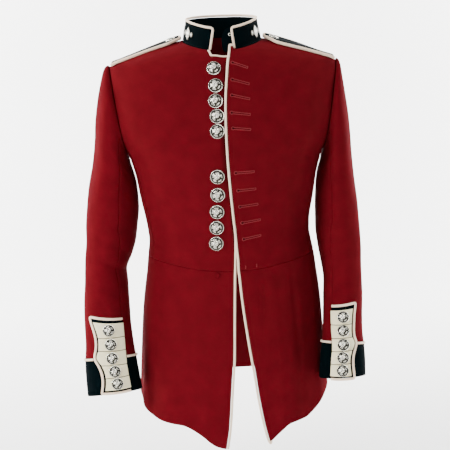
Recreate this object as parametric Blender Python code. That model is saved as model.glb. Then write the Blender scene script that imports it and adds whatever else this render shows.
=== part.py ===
"""A military dress tunic, worn form, front open below the waist. Metres, +Z up.

The origin is in the middle of the neck ring, level with the sides of the neck, where the
wearer's shoulders carry the tunic. -Y is the front. The wearer's right is -X.

The body is one smooth surface, body(theta, level): level cuts whose sizes are in BODY, with
theta turning from the centre front (0) over the side (90) to the centre back (180), and
negative on the wearer's right. Each sleeve is a second surface, sleeve(side, psi, row), through
the cuts of SLEEVES, with psi turning from the outer line (0) over the front (90) to the inner
line (180). Every piece of cloth is a wall on one of these, and what lies on a piece is made
from the same points, moved out.
"""

import math

import bpy
import numpy as np

# ---------------------------------------------------------------- cloth and gaps

MELTON = 0.0020
FACING = 0.0014
COLLAR_CLOTH = 0.0026
SEAM = 0.0003
CLEAR = 0.0005  # between a curved piece and what lies on it
LAP = 0.0027  # the left front stands this far off the right front that it covers
NECK_LAP = 0.0038  # at the neck the right front sinks instead
PIPING = 0.0021
STRAP_PIPING = 0.0023

# ---------------------------------------------------------------- body, in millimetres

# level: height of the cut at the side. half: half width. front, back: depth ahead of and
# behind the side line. square: 2 is an ellipse, more is squarer. tilt: share of the neck
# ring's dip at the front and rise at the back. A cut between the shoulder and the armpit is
# wider than the body, because the armhole cuts its ends off.
BODY_COLUMNS = ("level", "half", "front", "back", "square", "tilt")
BODY = [
    (0, 73, 75, 62, 2.10, 1.00),
    (-3, 92, 76, 66, 2.05, 0.86),
    (-8, 114, 78, 71, 2.02, 0.70),
    (-14.5, 137, 80.5, 76, 2.00, 0.50),
    (-22.5, 160, 83.5, 80, 2.00, 0.30),
    (-31, 182, 87, 84, 2.00, 0.12),
    (-43, 209, 92, 88, 2.00, 0.00),
    (-52, 214, 96.5, 92, 2.05, 0),
    (-64, 217, 102, 97, 2.10, 0),
    (-80, 219, 108, 102, 2.15, 0),
    (-100, 219, 114.5, 107, 2.20, 0),
    (-125, 216, 121, 111, 2.25, 0),
    (-150, 210.5, 126, 113.5, 2.30, 0),
    (-172, 202.5, 129, 114.5, 2.30, 0),
    (-187, 194, 130.5, 114.3, 2.30, 0),
    (-196, 188.3, 131, 114, 2.30, 0),
    (-206, 182.0, 131.5, 113.2, 2.30, 0),
    (-225, 175.5, 131, 111.5, 2.30, 0),
    (-250, 169, 129, 108, 2.30, 0),
    (-275, 165, 125.5, 104, 2.28, 0),
    (-300, 160.5, 121.5, 100, 2.26, 0),
    (-325, 155.5, 118, 96.5, 2.24, 0),
    (-350, 152.4, 115.5, 94, 2.22, 0),
    (-373, 152.9, 114.5, 93, 2.20, 0),
    (-397, 156.8, 115, 94, 2.20, 0),
    (-430, 160.9, 117.5, 98, 2.20, 0),
    (-455, 164.6, 120.5, 102, 2.20, 0),
    (-490, 169, 124, 108, 2.20, 0),
    (-541, 173.3, 129.5, 115, 2.20, 0),
    (-600, 178, 134, 121, 2.20, 0),
    (-645, 181, 137, 125, 2.20, 0),
    (-745, 184, 141, 130, 2.20, 0),
]

# How far the middle of each cut stands to the wearer's left.
SWAY = [(-325, 0), (-350, 0.8), (-373, 2.8), (-397, 3.7), (-430, 4.0), (-455, 3.6), (-490, 2.8),
        (-541, 1.8), (-600, 1.5), (-645, 1.0), (-745, 0)]

# Height of the neck ring over its sides, and of the waist seam and the hem, round the body.
NECK_LINE = [(0, -22), (20, -20), (45, -13), (70, -5.5), (90, -1), (120, 3), (150, 5.5), (180, 6)]
WAIST_LINE = [(0, -416), (10, -415), (20, -412.5), (35, -407), (55, -401), (90, -398), (180, -397)]
HEM_RIGHT = [(0, -741), (5, -740), (9, -736), (18, -715), (27, -701), (37, -697.5), (48, -694),
             (58, -687), (68, -678), (80, -669), (95, -664), (180, -662)]
HEM_LEFT = [(12, -735), (18.5, -731), (24, -717.5), (30, -703.5), (37, -699.5), (46, -697.5),
            (56, -687), (66, -672), (80, -658), (95, -655), (180, -662)]

# x of the front edges at each height; the pipings lie outside them.
EDGE_LEFT = [(0, 22), (-10, 18.5), (-22, 15.5), (-43, 11.5), (-67, 9), (-109, 5.5), (-160, 4.5),
             (-209, 5.5), (-271, 9), (-313, 12), (-355, 15.5), (-377, 16.8), (-397, 18.6),
             (-412, 18.6), (-428, 20.1), (-450, 21.9), (-475, 24.4), (-504, 27.6), (-530, 31),
             (-555, 34.4), (-581, 38.2), (-612, 42.6), (-645, 46.9), (-685, 53.6), (-710, 58.7),
             (-735, 65.4)]
EDGE_RIGHT = [(0, 17), (-22, 16.5), (-60, 14), (-110, 11), (-200, 9.5), (-300, 9.8), (-377, 9.3),
              (-428, 6.9), (-503, 3.9), (-580, 0.9), (-644, -4.7), (-683, -7.8), (-710, -10.9),
              (-741, -16.3)]

# x and levels by which the right front's neckline is cut lower where the collar leaves it open,
# and x at the neck of its columns of points.
NECK_STEP = [(-27.5, 0), (-22.5, 28.0)]
NECK_COLUMNS = (17.0, 6.0, -8.0, -18.0, -22.5, -27.5, -36.0, -46.0, -56.0, -65.0, -70.5, -73.0)

# theta of the seam ahead of and behind each side body, at each height. They start from the
# armhole at the corner level.
CORNER = -194.0
SIDE_SEAM = [(-250, 71), (-397, 67)]
SIDE_BACK_SEAM = [(-250, 109), (-397, 115), (-540, 119), (-670, 121)]

# Soft upright folds below the waist: theta, half width, height, and where each is full.
FOLD_COLUMNS = ("theta", "spread", "height", "full_at")
FOLDS = [
    (33, 7, 3.2, -600),
    (52, 8, -2.6, -620),
    (78, 9, 0.4, -640),
    (112, 10, 3.0, -640),
    (146, 9, 3.5, -640),
    (-40, 9, 2.2, -640),
    (-66, 9, 2.6, -640),
    (-78, 12, -4.5, -690),
    (-112, 10, 3.0, -640),
    (-146, 9, 3.5, -640),
]

# ---------------------------------------------------------------- sleeves, in millimetres

# The armhole is flat: it runs from the shoulder tip to the armpit in one leaning plane.
SHOULDER_TIP = (209.0, -43.0)
ARMPIT = (182.0, -206.0)

# Each cut is an oval between a point on the outer line and one on the inner line.
# mid: how far ahead of the body's side line its middle is (minus is forward). depth: half
# its size from front to back.
SLEEVE_COLUMNS = ("out_x", "out_z", "in_x", "in_z", "mid", "depth")
SLEEVES = {
    "right": [
        (209, -43, 182, -206, 0, 62),
        (214.5, -41.3, 183.3, -209, 0, 64),
        (221, -49, 183, -213, 0, 66),
        (228.5, -75, 181.5, -219, 0.5, 67.5),
        (235, -104, 179.5, -227, 1.5, 68),
        (241, -141, 176.5, -237, 2.5, 68),
        (244.5, -180, 173, -249, 4, 67.5),
        (250.5, -222, 170, -264, 5, 67),
        (260, -266, 168, -285, 4, 66),
        (265.5, -307, 167.5, -312, 2, 65),
        (268, -339, 171, -340, -1, 64),
        (268.5, -368, 175, -368, -4, 62),
        (271.5, -398, 184, -397, -10, 59.5),
        (272.5, -421, 193.5, -419, -16, 57.5),
        (273, -445, 192, -443, -24, 55.5),
        (275, -482, 190, -480, -36, 53),
        (274.5, -520, 188, -517, -48, 50),
        (273, -556, 184, -550, -59, 47),
        (274, -584, 179.5, -577, -68, 44.5),
        (273, -612, 174.5, -606, -77, 43),
        (270.3, -647, 169, -636, -87, 42),
    ],
    "left": [
        (209, -43, 182, -206, 0, 62),
        (213, -41.3, 183.3, -209, 0, 64.5),
        (217.5, -50, 183, -213, 0, 67),
        (221.5, -75, 181.5, -219, 0.5, 69),
        (226, -105, 179.5, -227, 1.5, 70.5),
        (231, -140, 176.5, -237, 2.5, 71),
        (234.5, -177, 173, -249, 4, 71),
        (237, -218, 170, -264, 5, 70.5),
        (241, -264, 168, -285, 4, 70),
        (246, -307, 166.5, -312, 2, 69),
        (247.5, -336, 166, -337, -1, 68),
        (249, -362, 166, -362, -4, 66),
        (250, -394, 169.3, -393, -10, 63),
        (249, -422, 173.7, -420, -17, 60.5),
        (248.5, -447, 176.9, -447, -26, 58.5),
        (248, -480, 175, -479, -38, 56),
        (245.5, -514, 173, -511, -50, 54),
        (244, -544, 170.5, -540, -63, 52),
        (244.5, -566, 167.5, -561, -77, 51),
        (245, -592, 163, -587, -87, 50),
        (244, -621, 159.5, -624, -96, 49),
    ],
}
SLEEVE_SQUARE = 2.15
HEAD_ROWS = 4.0  # over these rows the armhole's shape turns into the oval
CUFF_ROW = 18  # the row at which the cuff band starts
LAST_ROW = 20
SLEEVE_LEAN = [(10, 0), (12, 0.03), (14, 0.10), (16, 0.17), (18, 0.20), (20, 0.20)]
# row, and how far its cut rises towards the front for each millimetre

# psi of the two sleeve seams at each row.
FRONT_SEAM = {
    "right": [(0, 128), (4, 120), (8, 110), (10, 112), (12, 124), (14, 133.5), (15.9, 135.9),
              (17, 133.6), (18.5, 130.2), (20, 131.2)],
    "left": [(0, 128), (4, 120), (8, 110), (10, 112), (12, 124), (14, 132), (15.9, 132.4),
             (17, 129.7), (18.5, 124.9), (20, 126.5)],
}
BACK_SEAM = [(0, 236), (8, 244), (14, 256), (20, 262)]

# ---------------------------------------------------------------- cuffs, in millimetres

# Slash on each cuff, over drop millimetres of height from its top at psi 65. slope: how much
# higher it lies for each degree past that, by share of the drop. edge: its outer outline, with
# a point at the top, in the middle and at the bottom, as share of the drop and psi. Its inner
# edge lies on the front seam. loops: shares at which the five loops begin and end. buttons:
# psi of each.
SLASH = {
    "right": {
        "top": -502.1,
        "drop": 128.8,
        "slope": [(0, -0.072), (0.2, 0), (0.6, 0), (0.8, 0.05), (1, 0.06)],
        "edge": [(0, 55.5), (0.119, 62.5), (0.222, 67), (0.33, 68), (0.42, 66.5), (0.542, 63),
                 (0.634, 71), (0.728, 76), (0.829, 77), (0.912, 75.5), (1, 72)],
        "loops": (0.036, 0.259, 0.437, 0.635, 0.816, 0.985),
        "buttons": (97.5, 98.5, 99, 101, 102.5),
    },
    "left": {
        "top": -489.4,
        "drop": 122.2,
        "slope": [(0, -0.091), (0.25, -0.052), (0.45, -0.05), (0.65, -0.065), (0.8, -0.055),
                  (1, -0.025)],
        "edge": [(0, 66.5), (0.145, 70), (0.264, 71), (0.367, 71.5), (0.448, 70), (0.527, 65.5),
                 (0.617, 71), (0.704, 75), (0.801, 75.5), (0.907, 73.5), (1, 71.5)],
        "loops": (0.044, 0.265, 0.450, 0.617, 0.798, 0.985),
        "buttons": (96.3, 96.3, 96.3, 96.3, 96.3),
    },
}
LOOP_MARGIN = 4.2  # blue edge and piping seat outside the loops, in degrees
LOOP_POINT = 1.3  # how far the middle loop's end reaches out, in degrees
GROOVE = 0.0033  # half width of the groove between two loops, as a share of the drop

# ---------------------------------------------------------------- collar, in millimetres

COLLAR_HEIGHT = [(0, 36.5), (60, 36), (90, 36), (180, 37)]
COLLAR_TOP = {"half": 66.0, "front": 69.5, "back": 57.5}
COLLAR_ENDS = {"left": (25.0, 20.5), "right": (-25.0, -18.5)}  # x at the seam and at the top
TAB_ROWS = [(26, -19, 13), (18, -22, 16.5), (11, -25, 16), (5, -25, 12), (1, -20, 5),
            (-1, -12, -3)]  # x, bottom, top
ORNAMENT_THETA, ORNAMENT_RISE = 60.0, 19.0
ORNAMENT_HALF = [(-16, 2.7), (-11.7, 5.6), (-7.4, 3.2), (-3.9, 8), (0, 12.6), (3.9, 8), (7.4, 3.2),
                 (11.7, 5.6), (16, 2.7)]  # a plain four-lobed motif: along, half height

# ---------------------------------------------------------------- shoulder straps, in millimetres

STRAP_ROWS = [(204, 22.5, 2.4), (197, 24, 1.9), (189, 25, 1.2), (172, 26, 0.7), (152, 26, 0.5),
              (132, 26, 0.7), (114, 25, 1.2), (100, 24, 2.2), (90, 15.5, 3.6),
              (80, 6, 4.8)]  # x, half width, lift at its middle
STRAP_FRONT, STRAP_REAR = 0.5, 3.2  # how much more its front and rear edges are lifted
STRAP_FORWARD = {
    "right": [(204, 2), (190, 2), (170, 2), (140, 2), (110, 2), (95, 2), (80, 2)],
    "left": [(204, 2), (190, 3), (170, 5), (152, 8), (133, 11), (114, 13), (95, 11), (80, 6)],
}  # x, how far ahead of the shoulder line its middle lies
STRAP_CLOTH = 2.0

# ---------------------------------------------------------------- buttons, in millimetres

# Outline of a domed button: share of the radius and share of the height.
BUTTON_PROFILE = [(0.86, 0.0), (1.0, 0.30), (0.86, 0.42), (0.60, 0.86)]
BUTTON_SIDES = 12
FRONT_BUTTONS = [(-16.3, -54), (-14.2, -84), (-15.2, -110.7), (-13.4, -137.2), (-13.6, -163.5),
                 (-16.0, -243), (-16.6, -275.5), (-18.8, -306.5), (-20.3, -335.5), (-22, -364.5)]
FRONT_BUTTON = (12.7, 6.2)  # radius, height
CUFF_BUTTON = (11.0, 5.6)
STRAP_BUTTON = (9.0, 5.0)
STRAP_BUTTON_X = 95.0
WAIST_BUTTON = (5.5, 2.4)
WAIST_BUTTON_AT = (-21.5, -422.0)

# ---------------------------------------------------------------- colours, linear

SCARLET = (0.235, 0.006, 0.011)
BLUE = (0.004, 0.011, 0.017)
CREAM = (0.72, 0.64, 0.52)
SILVER = (0.78, 0.76, 0.70)


# ================================================================ small tools


def steps(*values):
    return np.array(values, float)


def curve(table, at):
    """Reads a table of (position, value...) at any position, smoothly: a cubic through its
    rows whose slope at each row is that of the line between the rows beside it."""
    rows = np.asarray(table, float)
    rows = rows[np.argsort(rows[:, 0])]
    x, y = rows[:, 0], rows[:, 1:]
    at = np.clip(np.asarray(at, float), x[0], x[-1])
    slope = np.gradient(y, x, axis=0)
    i = np.clip(np.searchsorted(x, at, side="right") - 1, 0, len(x) - 2)
    span = (x[i + 1] - x[i])[..., None]
    t = (at - x[i])[..., None] / span
    value = (
        (2 * t**3 - 3 * t**2 + 1) * y[i]
        + (t**3 - 2 * t**2 + t) * span * slope[i]
        + (3 * t**2 - 2 * t**3) * y[i + 1]
        + (t**3 - t**2) * span * slope[i + 1]
    )
    return [value[..., k] for k in range(value.shape[-1])]


def line(table, at):
    """Reads a table of (position, value) along straight lines."""
    rows = np.asarray(table, float)
    rows = rows[np.argsort(rows[:, 0])]
    return np.interp(at, rows[:, 0], rows[:, 1])


def ease(t):
    """0 before 0, 1 after 1, and soft between."""
    t = np.clip(t, 0, 1)
    return t * t * (3 - 2 * t)


def power(value, exponent):
    return np.sign(value) * np.abs(value) ** exponent


def unit(vectors):
    return vectors / np.maximum(np.linalg.norm(vectors, axis=-1, keepdims=True), 1e-12)


def normals(surface, u, v, du, dv):
    """Outward normals of a surface by small steps along its two parameters."""
    along_u = surface(u + du, v) - surface(u - du, v)
    along_v = surface(u, v + dv) - surface(u, v - dv)
    return unit(np.cross(along_u, along_v))


# ================================================================ the two surfaces


def body(theta, level):
    """Point of the body at theta degrees round and at a level in millimetres."""
    half, front, back, square, tilt = curve(BODY, level)
    sine, cosine = np.sin(np.radians(theta)), np.cos(np.radians(theta))
    x = half * power(sine, 2 / square)
    y = -np.where(cosine > 0, front, back) * power(cosine, 2 / square)
    z = level + tilt * curve(NECK_LINE, np.abs(theta))[0]
    fold = sum(
        height
        * np.exp(-(((theta - at) / spread) ** 2))
        * ease((level + 425) / (full + 425))
        for at, spread, height, full in FOLDS
    )
    reach = np.hypot(x, y)
    x, y = x * (1 + fold / reach) + curve(SWAY, level)[0], y * (1 + fold / reach)
    return np.stack([x, y, z], -1) / 1000


def body_normal(theta, level):
    return normals(body, theta, level, 0.4, 0.4)


def theta_of(x, level):
    """theta at which the front of the body is x millimetres from the centre."""
    half, _, _, square, _ = curve(BODY, level)
    share = (np.asarray(x, float) - curve(SWAY, level)[0]) / half
    return np.degrees(np.arcsin(np.clip(power(share, square / 2), -1, 1)))


def armhole_x(level):
    (x0, z0), (x1, z1) = SHOULDER_TIP, ARMPIT
    return x0 + (np.asarray(level, float) - z0) * (x1 - x0) / (z1 - z0)


def armhole_theta(level):
    """theta, up to 90, at which the front of a cut meets the armhole."""
    return np.where(np.asarray(level) >= SHOULDER_TIP[1], 90.0, theta_of(armhole_x(level), level))


def side_seam(level, behind=False):
    """theta of the side body's front or back seam at a level."""
    corner = float(armhole_theta(CORNER))
    rows = [(CORNER, 180 - corner), *SIDE_BACK_SEAM] if behind else [(CORNER, corner), *SIDE_SEAM]
    return line(rows, level)


def armhole_level(theta):
    """Level of the armhole's lower end at a theta near the side."""
    levels = np.linspace(-206, -172, 120)
    return np.interp(90 - np.abs(90 - np.abs(theta)), armhole_theta(levels)[::-1], levels[::-1])


def armhole_point(psi):
    """Point of the armhole's edge, psi turning as on the sleeve, for the wearer's left."""
    (x0, z0), (x1, z1) = SHOULDER_TIP, ARMPIT
    share = (1 + np.cos(np.radians(psi))) / 2
    level = z1 + (z0 - z1) * share
    theta = armhole_theta(level)
    point = body(np.where(np.sin(np.radians(psi)) >= 0, theta, 180 - theta), level) * 1000
    side = np.sin(np.radians(psi))
    y = np.where(np.abs(side) < 1e-9, 0, point[..., 1])
    return x1 + (x0 - x1) * share, y, level


ARMHOLE_NORMAL = unit(
    np.array([SHOULDER_TIP[1] - ARMPIT[1], 0, ARMPIT[0] - SHOULDER_TIP[0]], float)
)
ARMHOLE_MIDDLE = np.array([195.5, 0, -124.5]) / 1000


def mitre(points, side, outwards):
    """The two edges of a wall that ends in the armhole's plane: its outer edge set off the
    plane by half a seam, and its inner edge straight in from that, along the plane."""
    flip = np.array([side, 1, 1])
    outer = points * flip + outwards * ARMHOLE_NORMAL * SEAM / 2
    inner = outer + unit(ARMHOLE_MIDDLE - points * flip) * MELTON * 1.25
    return outer * flip, inner * flip


def sleeve(side, psi, row):
    """Point of a sleeve at psi degrees round its cut and at a row of its table."""
    name = "left" if side > 0 else "right"
    table = [(i, *values) for i, values in enumerate(SLEEVES[name])]
    out_x, out_z, in_x, in_z, mid, depth = curve(table, row)
    cosine, sine = np.cos(np.radians(psi)), np.sin(np.radians(psi))
    x = (out_x + in_x) / 2 + cosine * (out_x - in_x) / 2
    z = (out_z + in_z) / 2 + cosine * (out_z - in_z) / 2
    oval = mid - depth * power(sine, 2 / SLEEVE_SQUARE)
    armhole = armhole_point(psi)[1] * (depth / SLEEVES[name][0][5])
    share = ease(row / HEAD_ROWS)
    y = armhole * (1 - share) + oval * share
    z = z + line(SLEEVE_LEAN, row) * (mid - y)
    return np.stack([x * side, y, z], -1) / 1000


def sleeve_normal(side, psi, row):
    near = np.clip(row, 0.03, LAST_ROW - 0.03)
    return side * normals(lambda a, b: sleeve(side, a, b), psi, near, 0.6, 0.03)


def sleeve_row(side, psi, height):
    """Row of the lower sleeve at psi and at a height in millimetres, by halving."""
    low, high = np.full(np.shape(psi), 10.0), np.full(np.shape(psi), float(LAST_ROW))
    for _ in range(24):
        row = (low + high) / 2
        over = sleeve(side, psi, row)[..., 2] * 1000 > height
        low, high = np.where(over, row, low), np.where(over, high, row)
    return (low + high) / 2


def front_seam(side, row):
    return line(FRONT_SEAM["left" if side > 0 else "right"], row)


# ================================================================ walls, tubes and buttons


def colour(name, rgb, rough, metal=0.0):
    found = bpy.data.materials.new(name)
    found.use_nodes = True
    shader = found.node_tree.nodes["Principled BSDF"]
    shader.inputs["Base Color"].default_value = (*rgb, 1)
    shader.inputs["Roughness"].default_value = rough
    shader.inputs["Metallic"].default_value = metal
    found.diffuse_color = (*rgb, 1)
    return found


def solid(name, points, faces, material, smooth=True):
    """Adds an object, with its faces turned out."""
    points = np.asarray(points, float)
    fans = np.array([(f[0], f[k], f[k + 1]) for f in faces for k in range(1, len(f) - 1)])
    a, b, c = (points[fans[:, k]] for k in range(3))
    volume = np.sum(a * np.cross(b, c))
    if volume < 0:
        faces = [tuple(reversed(f)) for f in faces]
    mesh = bpy.data.meshes.new(name)
    mesh.from_pydata([tuple(p) for p in points], [], faces)
    mesh.update()
    made = bpy.data.objects.new(name, mesh)
    bpy.context.scene.collection.objects.link(made)
    mesh.materials.append(material)
    if smooth:
        mesh.shade_smooth()
        mesh.set_sharp_from_angle(angle=math.radians(40))
    return made


def open_seam(grid, edges):
    """Draws the named edges of a grid of points back by half a seam."""
    grid = grid.copy()
    for edge in edges:
        line_at, next_at = {
            "first": ((slice(None), 0), (slice(None), 1)),
            "last": ((slice(None), -1), (slice(None), -2)),
            "top": ((0,), (1,)),
            "bottom": ((-1,), (-2,)),
        }[edge]
        grid[line_at] += unit(grid[next_at] - grid[line_at]) * SEAM * 0.55
    return grid


def wall(name, outer, inner, material, closed=False):
    """A wall between two grids of points, rows by columns. Closed runs round its rows."""
    rows, columns = outer.shape[:2]
    index = np.arange(rows * columns).reshape(rows, columns)
    under = index + rows * columns
    if closed:
        index = np.concatenate([index, index[:, :1]], 1)
        under = np.concatenate([under, under[:, :1]], 1)

    def quads(a, b, c, d):
        return [tuple(int(k) for k in q) for q in zip(a.ravel(), b.ravel(), c.ravel(), d.ravel())]

    faces = quads(index[:-1, :-1], index[:-1, 1:], index[1:, 1:], index[1:, :-1])
    faces += quads(under[:-1, :-1], under[1:, :-1], under[1:, 1:], under[:-1, 1:])
    faces += quads(index[0, :-1], under[0, :-1], under[0, 1:], index[0, 1:])
    faces += quads(index[-1, :-1], index[-1, 1:], under[-1, 1:], under[-1, :-1])
    if not closed:
        faces += quads(index[:-1, 0], index[1:, 0], under[1:, 0], under[:-1, 0])
        faces += quads(index[:-1, -1], under[:-1, -1], under[1:, -1], index[1:, -1])
    points = np.concatenate([outer.reshape(-1, 3), inner.reshape(-1, 3)])
    return solid(name, points, faces, material)


def tube(name, path, ups, material, wide=PIPING, high=None, sides=6):
    """A piping along a path of points, wide across and high along ups, with flat ends."""
    path, ups = np.asarray(path), unit(np.asarray(ups))
    high = wide if high is None else high
    before = unit(path - np.roll(path, 1, 0))
    after = unit(np.roll(path, -1, 0) - path)
    before[0], after[-1] = after[0], before[-1]
    along = unit(before + after)
    across = unit(np.cross(along, ups))
    ups = np.cross(across, along)
    stretch = 1 / np.clip(np.sum(along * before, -1), 0.72, 1)
    turn = (np.arange(sides) + 0.5) * 2 * math.pi / sides
    ring = (
        path[:, None]
        + across[:, None] * (np.cos(turn)[:, None] * wide) * stretch[:, None, None]
        + ups[:, None] * (np.sin(turn)[:, None] * high)
    )
    count = len(path)
    index = np.arange(count * sides).reshape(count, sides)
    wrapped = np.concatenate([index, index[:, :1]], 1)
    faces = [
        (int(a), int(b), int(c), int(d))
        for a, b, c, d in zip(
            wrapped[:-1, :-1].ravel(),
            wrapped[:-1, 1:].ravel(),
            wrapped[1:, 1:].ravel(),
            wrapped[1:, :-1].ravel(),
        )
    ]
    faces.append(tuple(int(k) for k in index[0][::-1]))
    faces.append(tuple(int(k) for k in index[-1]))
    made = solid(name, ring.reshape(-1, 3), faces, material)
    return made


def beside(path, ups, away):
    """A path moved away to its right, seen with ups towards the eye, whole round its corners."""
    before, after = unit(path[1:-1] - path[:-2]), unit(path[2:] - path[1:-1])
    first, last = unit(path[1:2] - path[:1]), unit(path[-1:] - path[-2:-1])
    before, after = np.concatenate([first, before, last]), np.concatenate([first, after, last])
    out = unit(np.cross(unit(before + after), ups))
    widen = 1 / np.sqrt(np.clip((1 + np.sum(before * after, -1)) / 2, 0.4, 1))
    return path + out * away * widen[:, None]


def button(name, at, facing, size, material, sides=BUTTON_SIDES):
    """A domed button with a flat back at a point, facing along a normal."""
    radius, height = (value / 1000 for value in size)
    facing = unit(np.asarray(facing, float))
    right = unit(np.cross((0, 0, 1), facing))
    up = np.cross(facing, right)
    turn = np.arange(sides) * 2 * math.pi / sides
    rings = [
        at
        + facing * height * rise
        + (right * np.cos(turn)[:, None] + up * np.sin(turn)[:, None]) * radius * share
        for share, rise in BUTTON_PROFILE
    ]
    points = np.concatenate([*rings, [at + facing * height]])
    faces = [tuple(range(sides - 1, -1, -1))]
    for ring in range(len(rings) - 1):
        for k in range(sides):
            n = (k + 1) % sides
            a, b = ring * sides, (ring + 1) * sides
            faces.append((a + k, a + n, b + n, b + k))
    last, top = (len(rings) - 1) * sides, len(points) - 1
    faces += [(last + k, last + (k + 1) % sides, top) for k in range(sides)]
    return solid(name, points, faces, material)


# ================================================================ layers of the front


def edge_x(side, height):
    return curve(EDGE_LEFT if side > 0 else EDGE_RIGHT, height)[0]


def lift(side, x, level):
    """How far a front stands off the body's surface: the left one is up along its edge, and
    at the neck the right one is down instead."""
    at_neck = ease((level + 62) / 34)
    if side > 0:
        reach = ease((75 - x) / 62) * ease((level + 470) / 40)
        return LAP * (1 - at_neck) * reach
    reach = ease((x + 17) / 20)
    return -NECK_LAP * at_neck * reach


def neck_drop(side, x):
    """Levels by which a front is cut lower at x on the neck ring."""
    return 0 * np.asarray(x, float) if side > 0 else line(NECK_STEP, x)


def cut_neck(side, theta, level):
    """Moves a grid's points above the shoulder down to the cut neckline, at the same x."""
    x = body(theta, level)[..., 0] * 1000
    drop = np.where(level > -43, neck_drop(side, x[:1]), 0.0)
    cut = level * (1 - drop / 43) - drop
    return np.where(drop > 0, theta_of(x, cut), theta), cut


def neck_rise(side, x, level):
    """The left front's top corner stands up over the neck ring."""
    if side < 0:
        return 0 * x
    return 6.5 * ease((24 - x) / 8) * ease((level + 14) / 14)


def front_point(side, theta, level, out=0.0):
    """Point of a front or skirt piece, out metres over its outer face."""
    place = body(theta, level)
    x = place[..., 0] * 1000
    raised = place + body_normal(theta, level) * (lift(side, x, level) + out)[..., None]
    raised[..., 2] += neck_rise(side, x, level) / 1000
    return raised


# ================================================================ pieces of the body

BODICE_LEVELS = steps(0, -6, -14.5, -26, -43, -51, -62, -78, -100, -125, -150, -172, -186, -194)
WAIST_SHARES = steps(0, 0.035, 0.08, 0.17, 0.29, 0.42, 0.55, 0.68, 0.8, 0.91, 1.0)
SKIRT_SHARES = steps(0, 0.04, 0.13, 0.26, 0.42, 0.58, 0.74, 0.88, 1.0)


def waist_level(theta):
    return curve(WAIST_LINE, np.abs(theta))[0]


def hem_level(theta):
    right, left = curve(HEM_RIGHT, np.abs(theta))[0], curve(HEM_LEFT, np.abs(theta))[0]
    return np.where(np.asarray(theta) < 0, right, np.where(np.asarray(theta) < 12, right, left))


def edge_theta(side, level):
    """Signed theta of a front edge at a level; z is a little off the level near the neck."""
    height = level + curve(BODY, level)[4] * NECK_LINE[0][1]
    return theta_of(edge_x(side, height), level)


def forepart(side, material, name):
    share = np.linspace(0, 1, 11) ** 1.05
    if side < 0:
        corner = edge_theta(side, 0.0)
        share = (corner - theta_of(NECK_COLUMNS, 0.0)) / (corner + 90)
        share[0] = 0.0
    rows = [(0, level) for level in BODICE_LEVELS] + [(part, CORNER) for part in WAIST_SHARES[1:]]
    thetas, levels = [], []
    for part, start in rows:
        level = np.full(len(share), start - part * 210)
        for _ in range(8):
            first = edge_theta(side, level[0])
            last = armhole_theta(start) if part == 0 else side_seam(level[-1])
            theta = first + (side * last - first) * share
            level = start + (waist_level(theta) - start) * part
        thetas.append(theta)
        levels.append(level)
    theta, level = np.array(thetas), np.array(levels)
    theta, level = cut_neck(side, theta, level)
    if side < 0:
        theta[:, 0] = edge_theta(side, level[:, 0])
    outer = front_point(side, theta, level)
    inner = outer - body_normal(theta, level) * MELTON
    outer, inner = (open_seam(g, ("last", "bottom")) for g in (outer, inner))
    ending = (level[:, -1] <= SHOULDER_TIP[1]) & (level[:, -1] >= CORNER)
    outer[ending, -1], inner[ending, -1] = mitre(
        body(theta[ending, -1], level[ending, -1]), side, -1
    )
    return wall(name, outer, inner, material)


def side_body(side, material, name):
    share = np.linspace(0, 1, 5)
    part = WAIST_SHARES[:, None]
    level = np.repeat(CORNER - part * 204, len(share), 1)
    for _ in range(8):
        first, last = side_seam(level[:, 0]), side_seam(level[:, -1], behind=True)
        theta = first[:, None] + (last - first)[:, None] * share
        top = armhole_level(theta)
        top[:, [0, -1]] = CORNER
        level = top + (waist_level(theta) - top) * part
    outer = body(side * theta, level)
    inner = outer - body_normal(side * theta, level) * MELTON
    outer, inner = (open_seam(g, ("first", "last", "bottom")) for g in (outer, inner))
    outer[0], inner[0] = mitre(body(side * theta[0], level[0]), side, -1)
    return wall(name, outer, inner, material)


def back(side, material, name):
    share = np.linspace(0, 1, 7)
    rows = [(level, 0, 0) for level in BODICE_LEVELS]
    rows += [(CORNER, part, 0) for part in WAIST_SHARES[1:]]
    rows += [(CORNER, 1, part) for part in SKIRT_SHARES[1:]]
    thetas, levels = [], []
    for start, to_waist, to_hem in rows:
        level = np.full(len(share), start - to_waist * 204 - to_hem * 265)
        for _ in range(8):
            upper = to_waist == 0
            first = 180 - armhole_theta(start) if upper else side_seam(level[0], behind=True)
            theta = first + (180 - first) * share
            waist = waist_level(theta)
            level = start + (waist - start) * to_waist + (hem_level(side * theta) - waist) * to_hem
        thetas.append(theta)
        levels.append(level)
    theta, level = np.array(thetas), np.array(levels)
    outer = body(side * theta, level)
    inner = outer - body_normal(side * theta, level) * MELTON
    outer, inner = (open_seam(g, ("first", "last")) for g in (outer, inner))
    ending = (level[:, 0] <= SHOULDER_TIP[1]) & (level[:, 0] >= CORNER)
    outer[ending, 0], inner[ending, 0] = mitre(
        body(side * theta[ending, 0], level[ending, 0]), side, -1
    )
    return wall(name, outer, inner, material)


def skirt(side, material, name):
    share = np.linspace(0, 1, 17)
    thetas, levels = [], []
    for part in SKIRT_SHARES:
        level = np.full(len(share), -411 - part * 270)
        for _ in range(8):
            start, end = edge_theta(side, level[0]), side_seam(level[-1], behind=True)
            theta = start + (side * end - start) * share
            level = waist_level(theta) + (hem_level(theta) - waist_level(theta)) * part
        thetas.append(theta)
        levels.append(level)
    theta, level = np.array(thetas), np.array(levels)
    outer = front_point(side, theta, level)
    inner = outer - body_normal(theta, level) * MELTON
    outer, inner = (open_seam(g, ("top", "last")) for g in (outer, inner))
    return wall(name, outer, inner, material)


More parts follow.
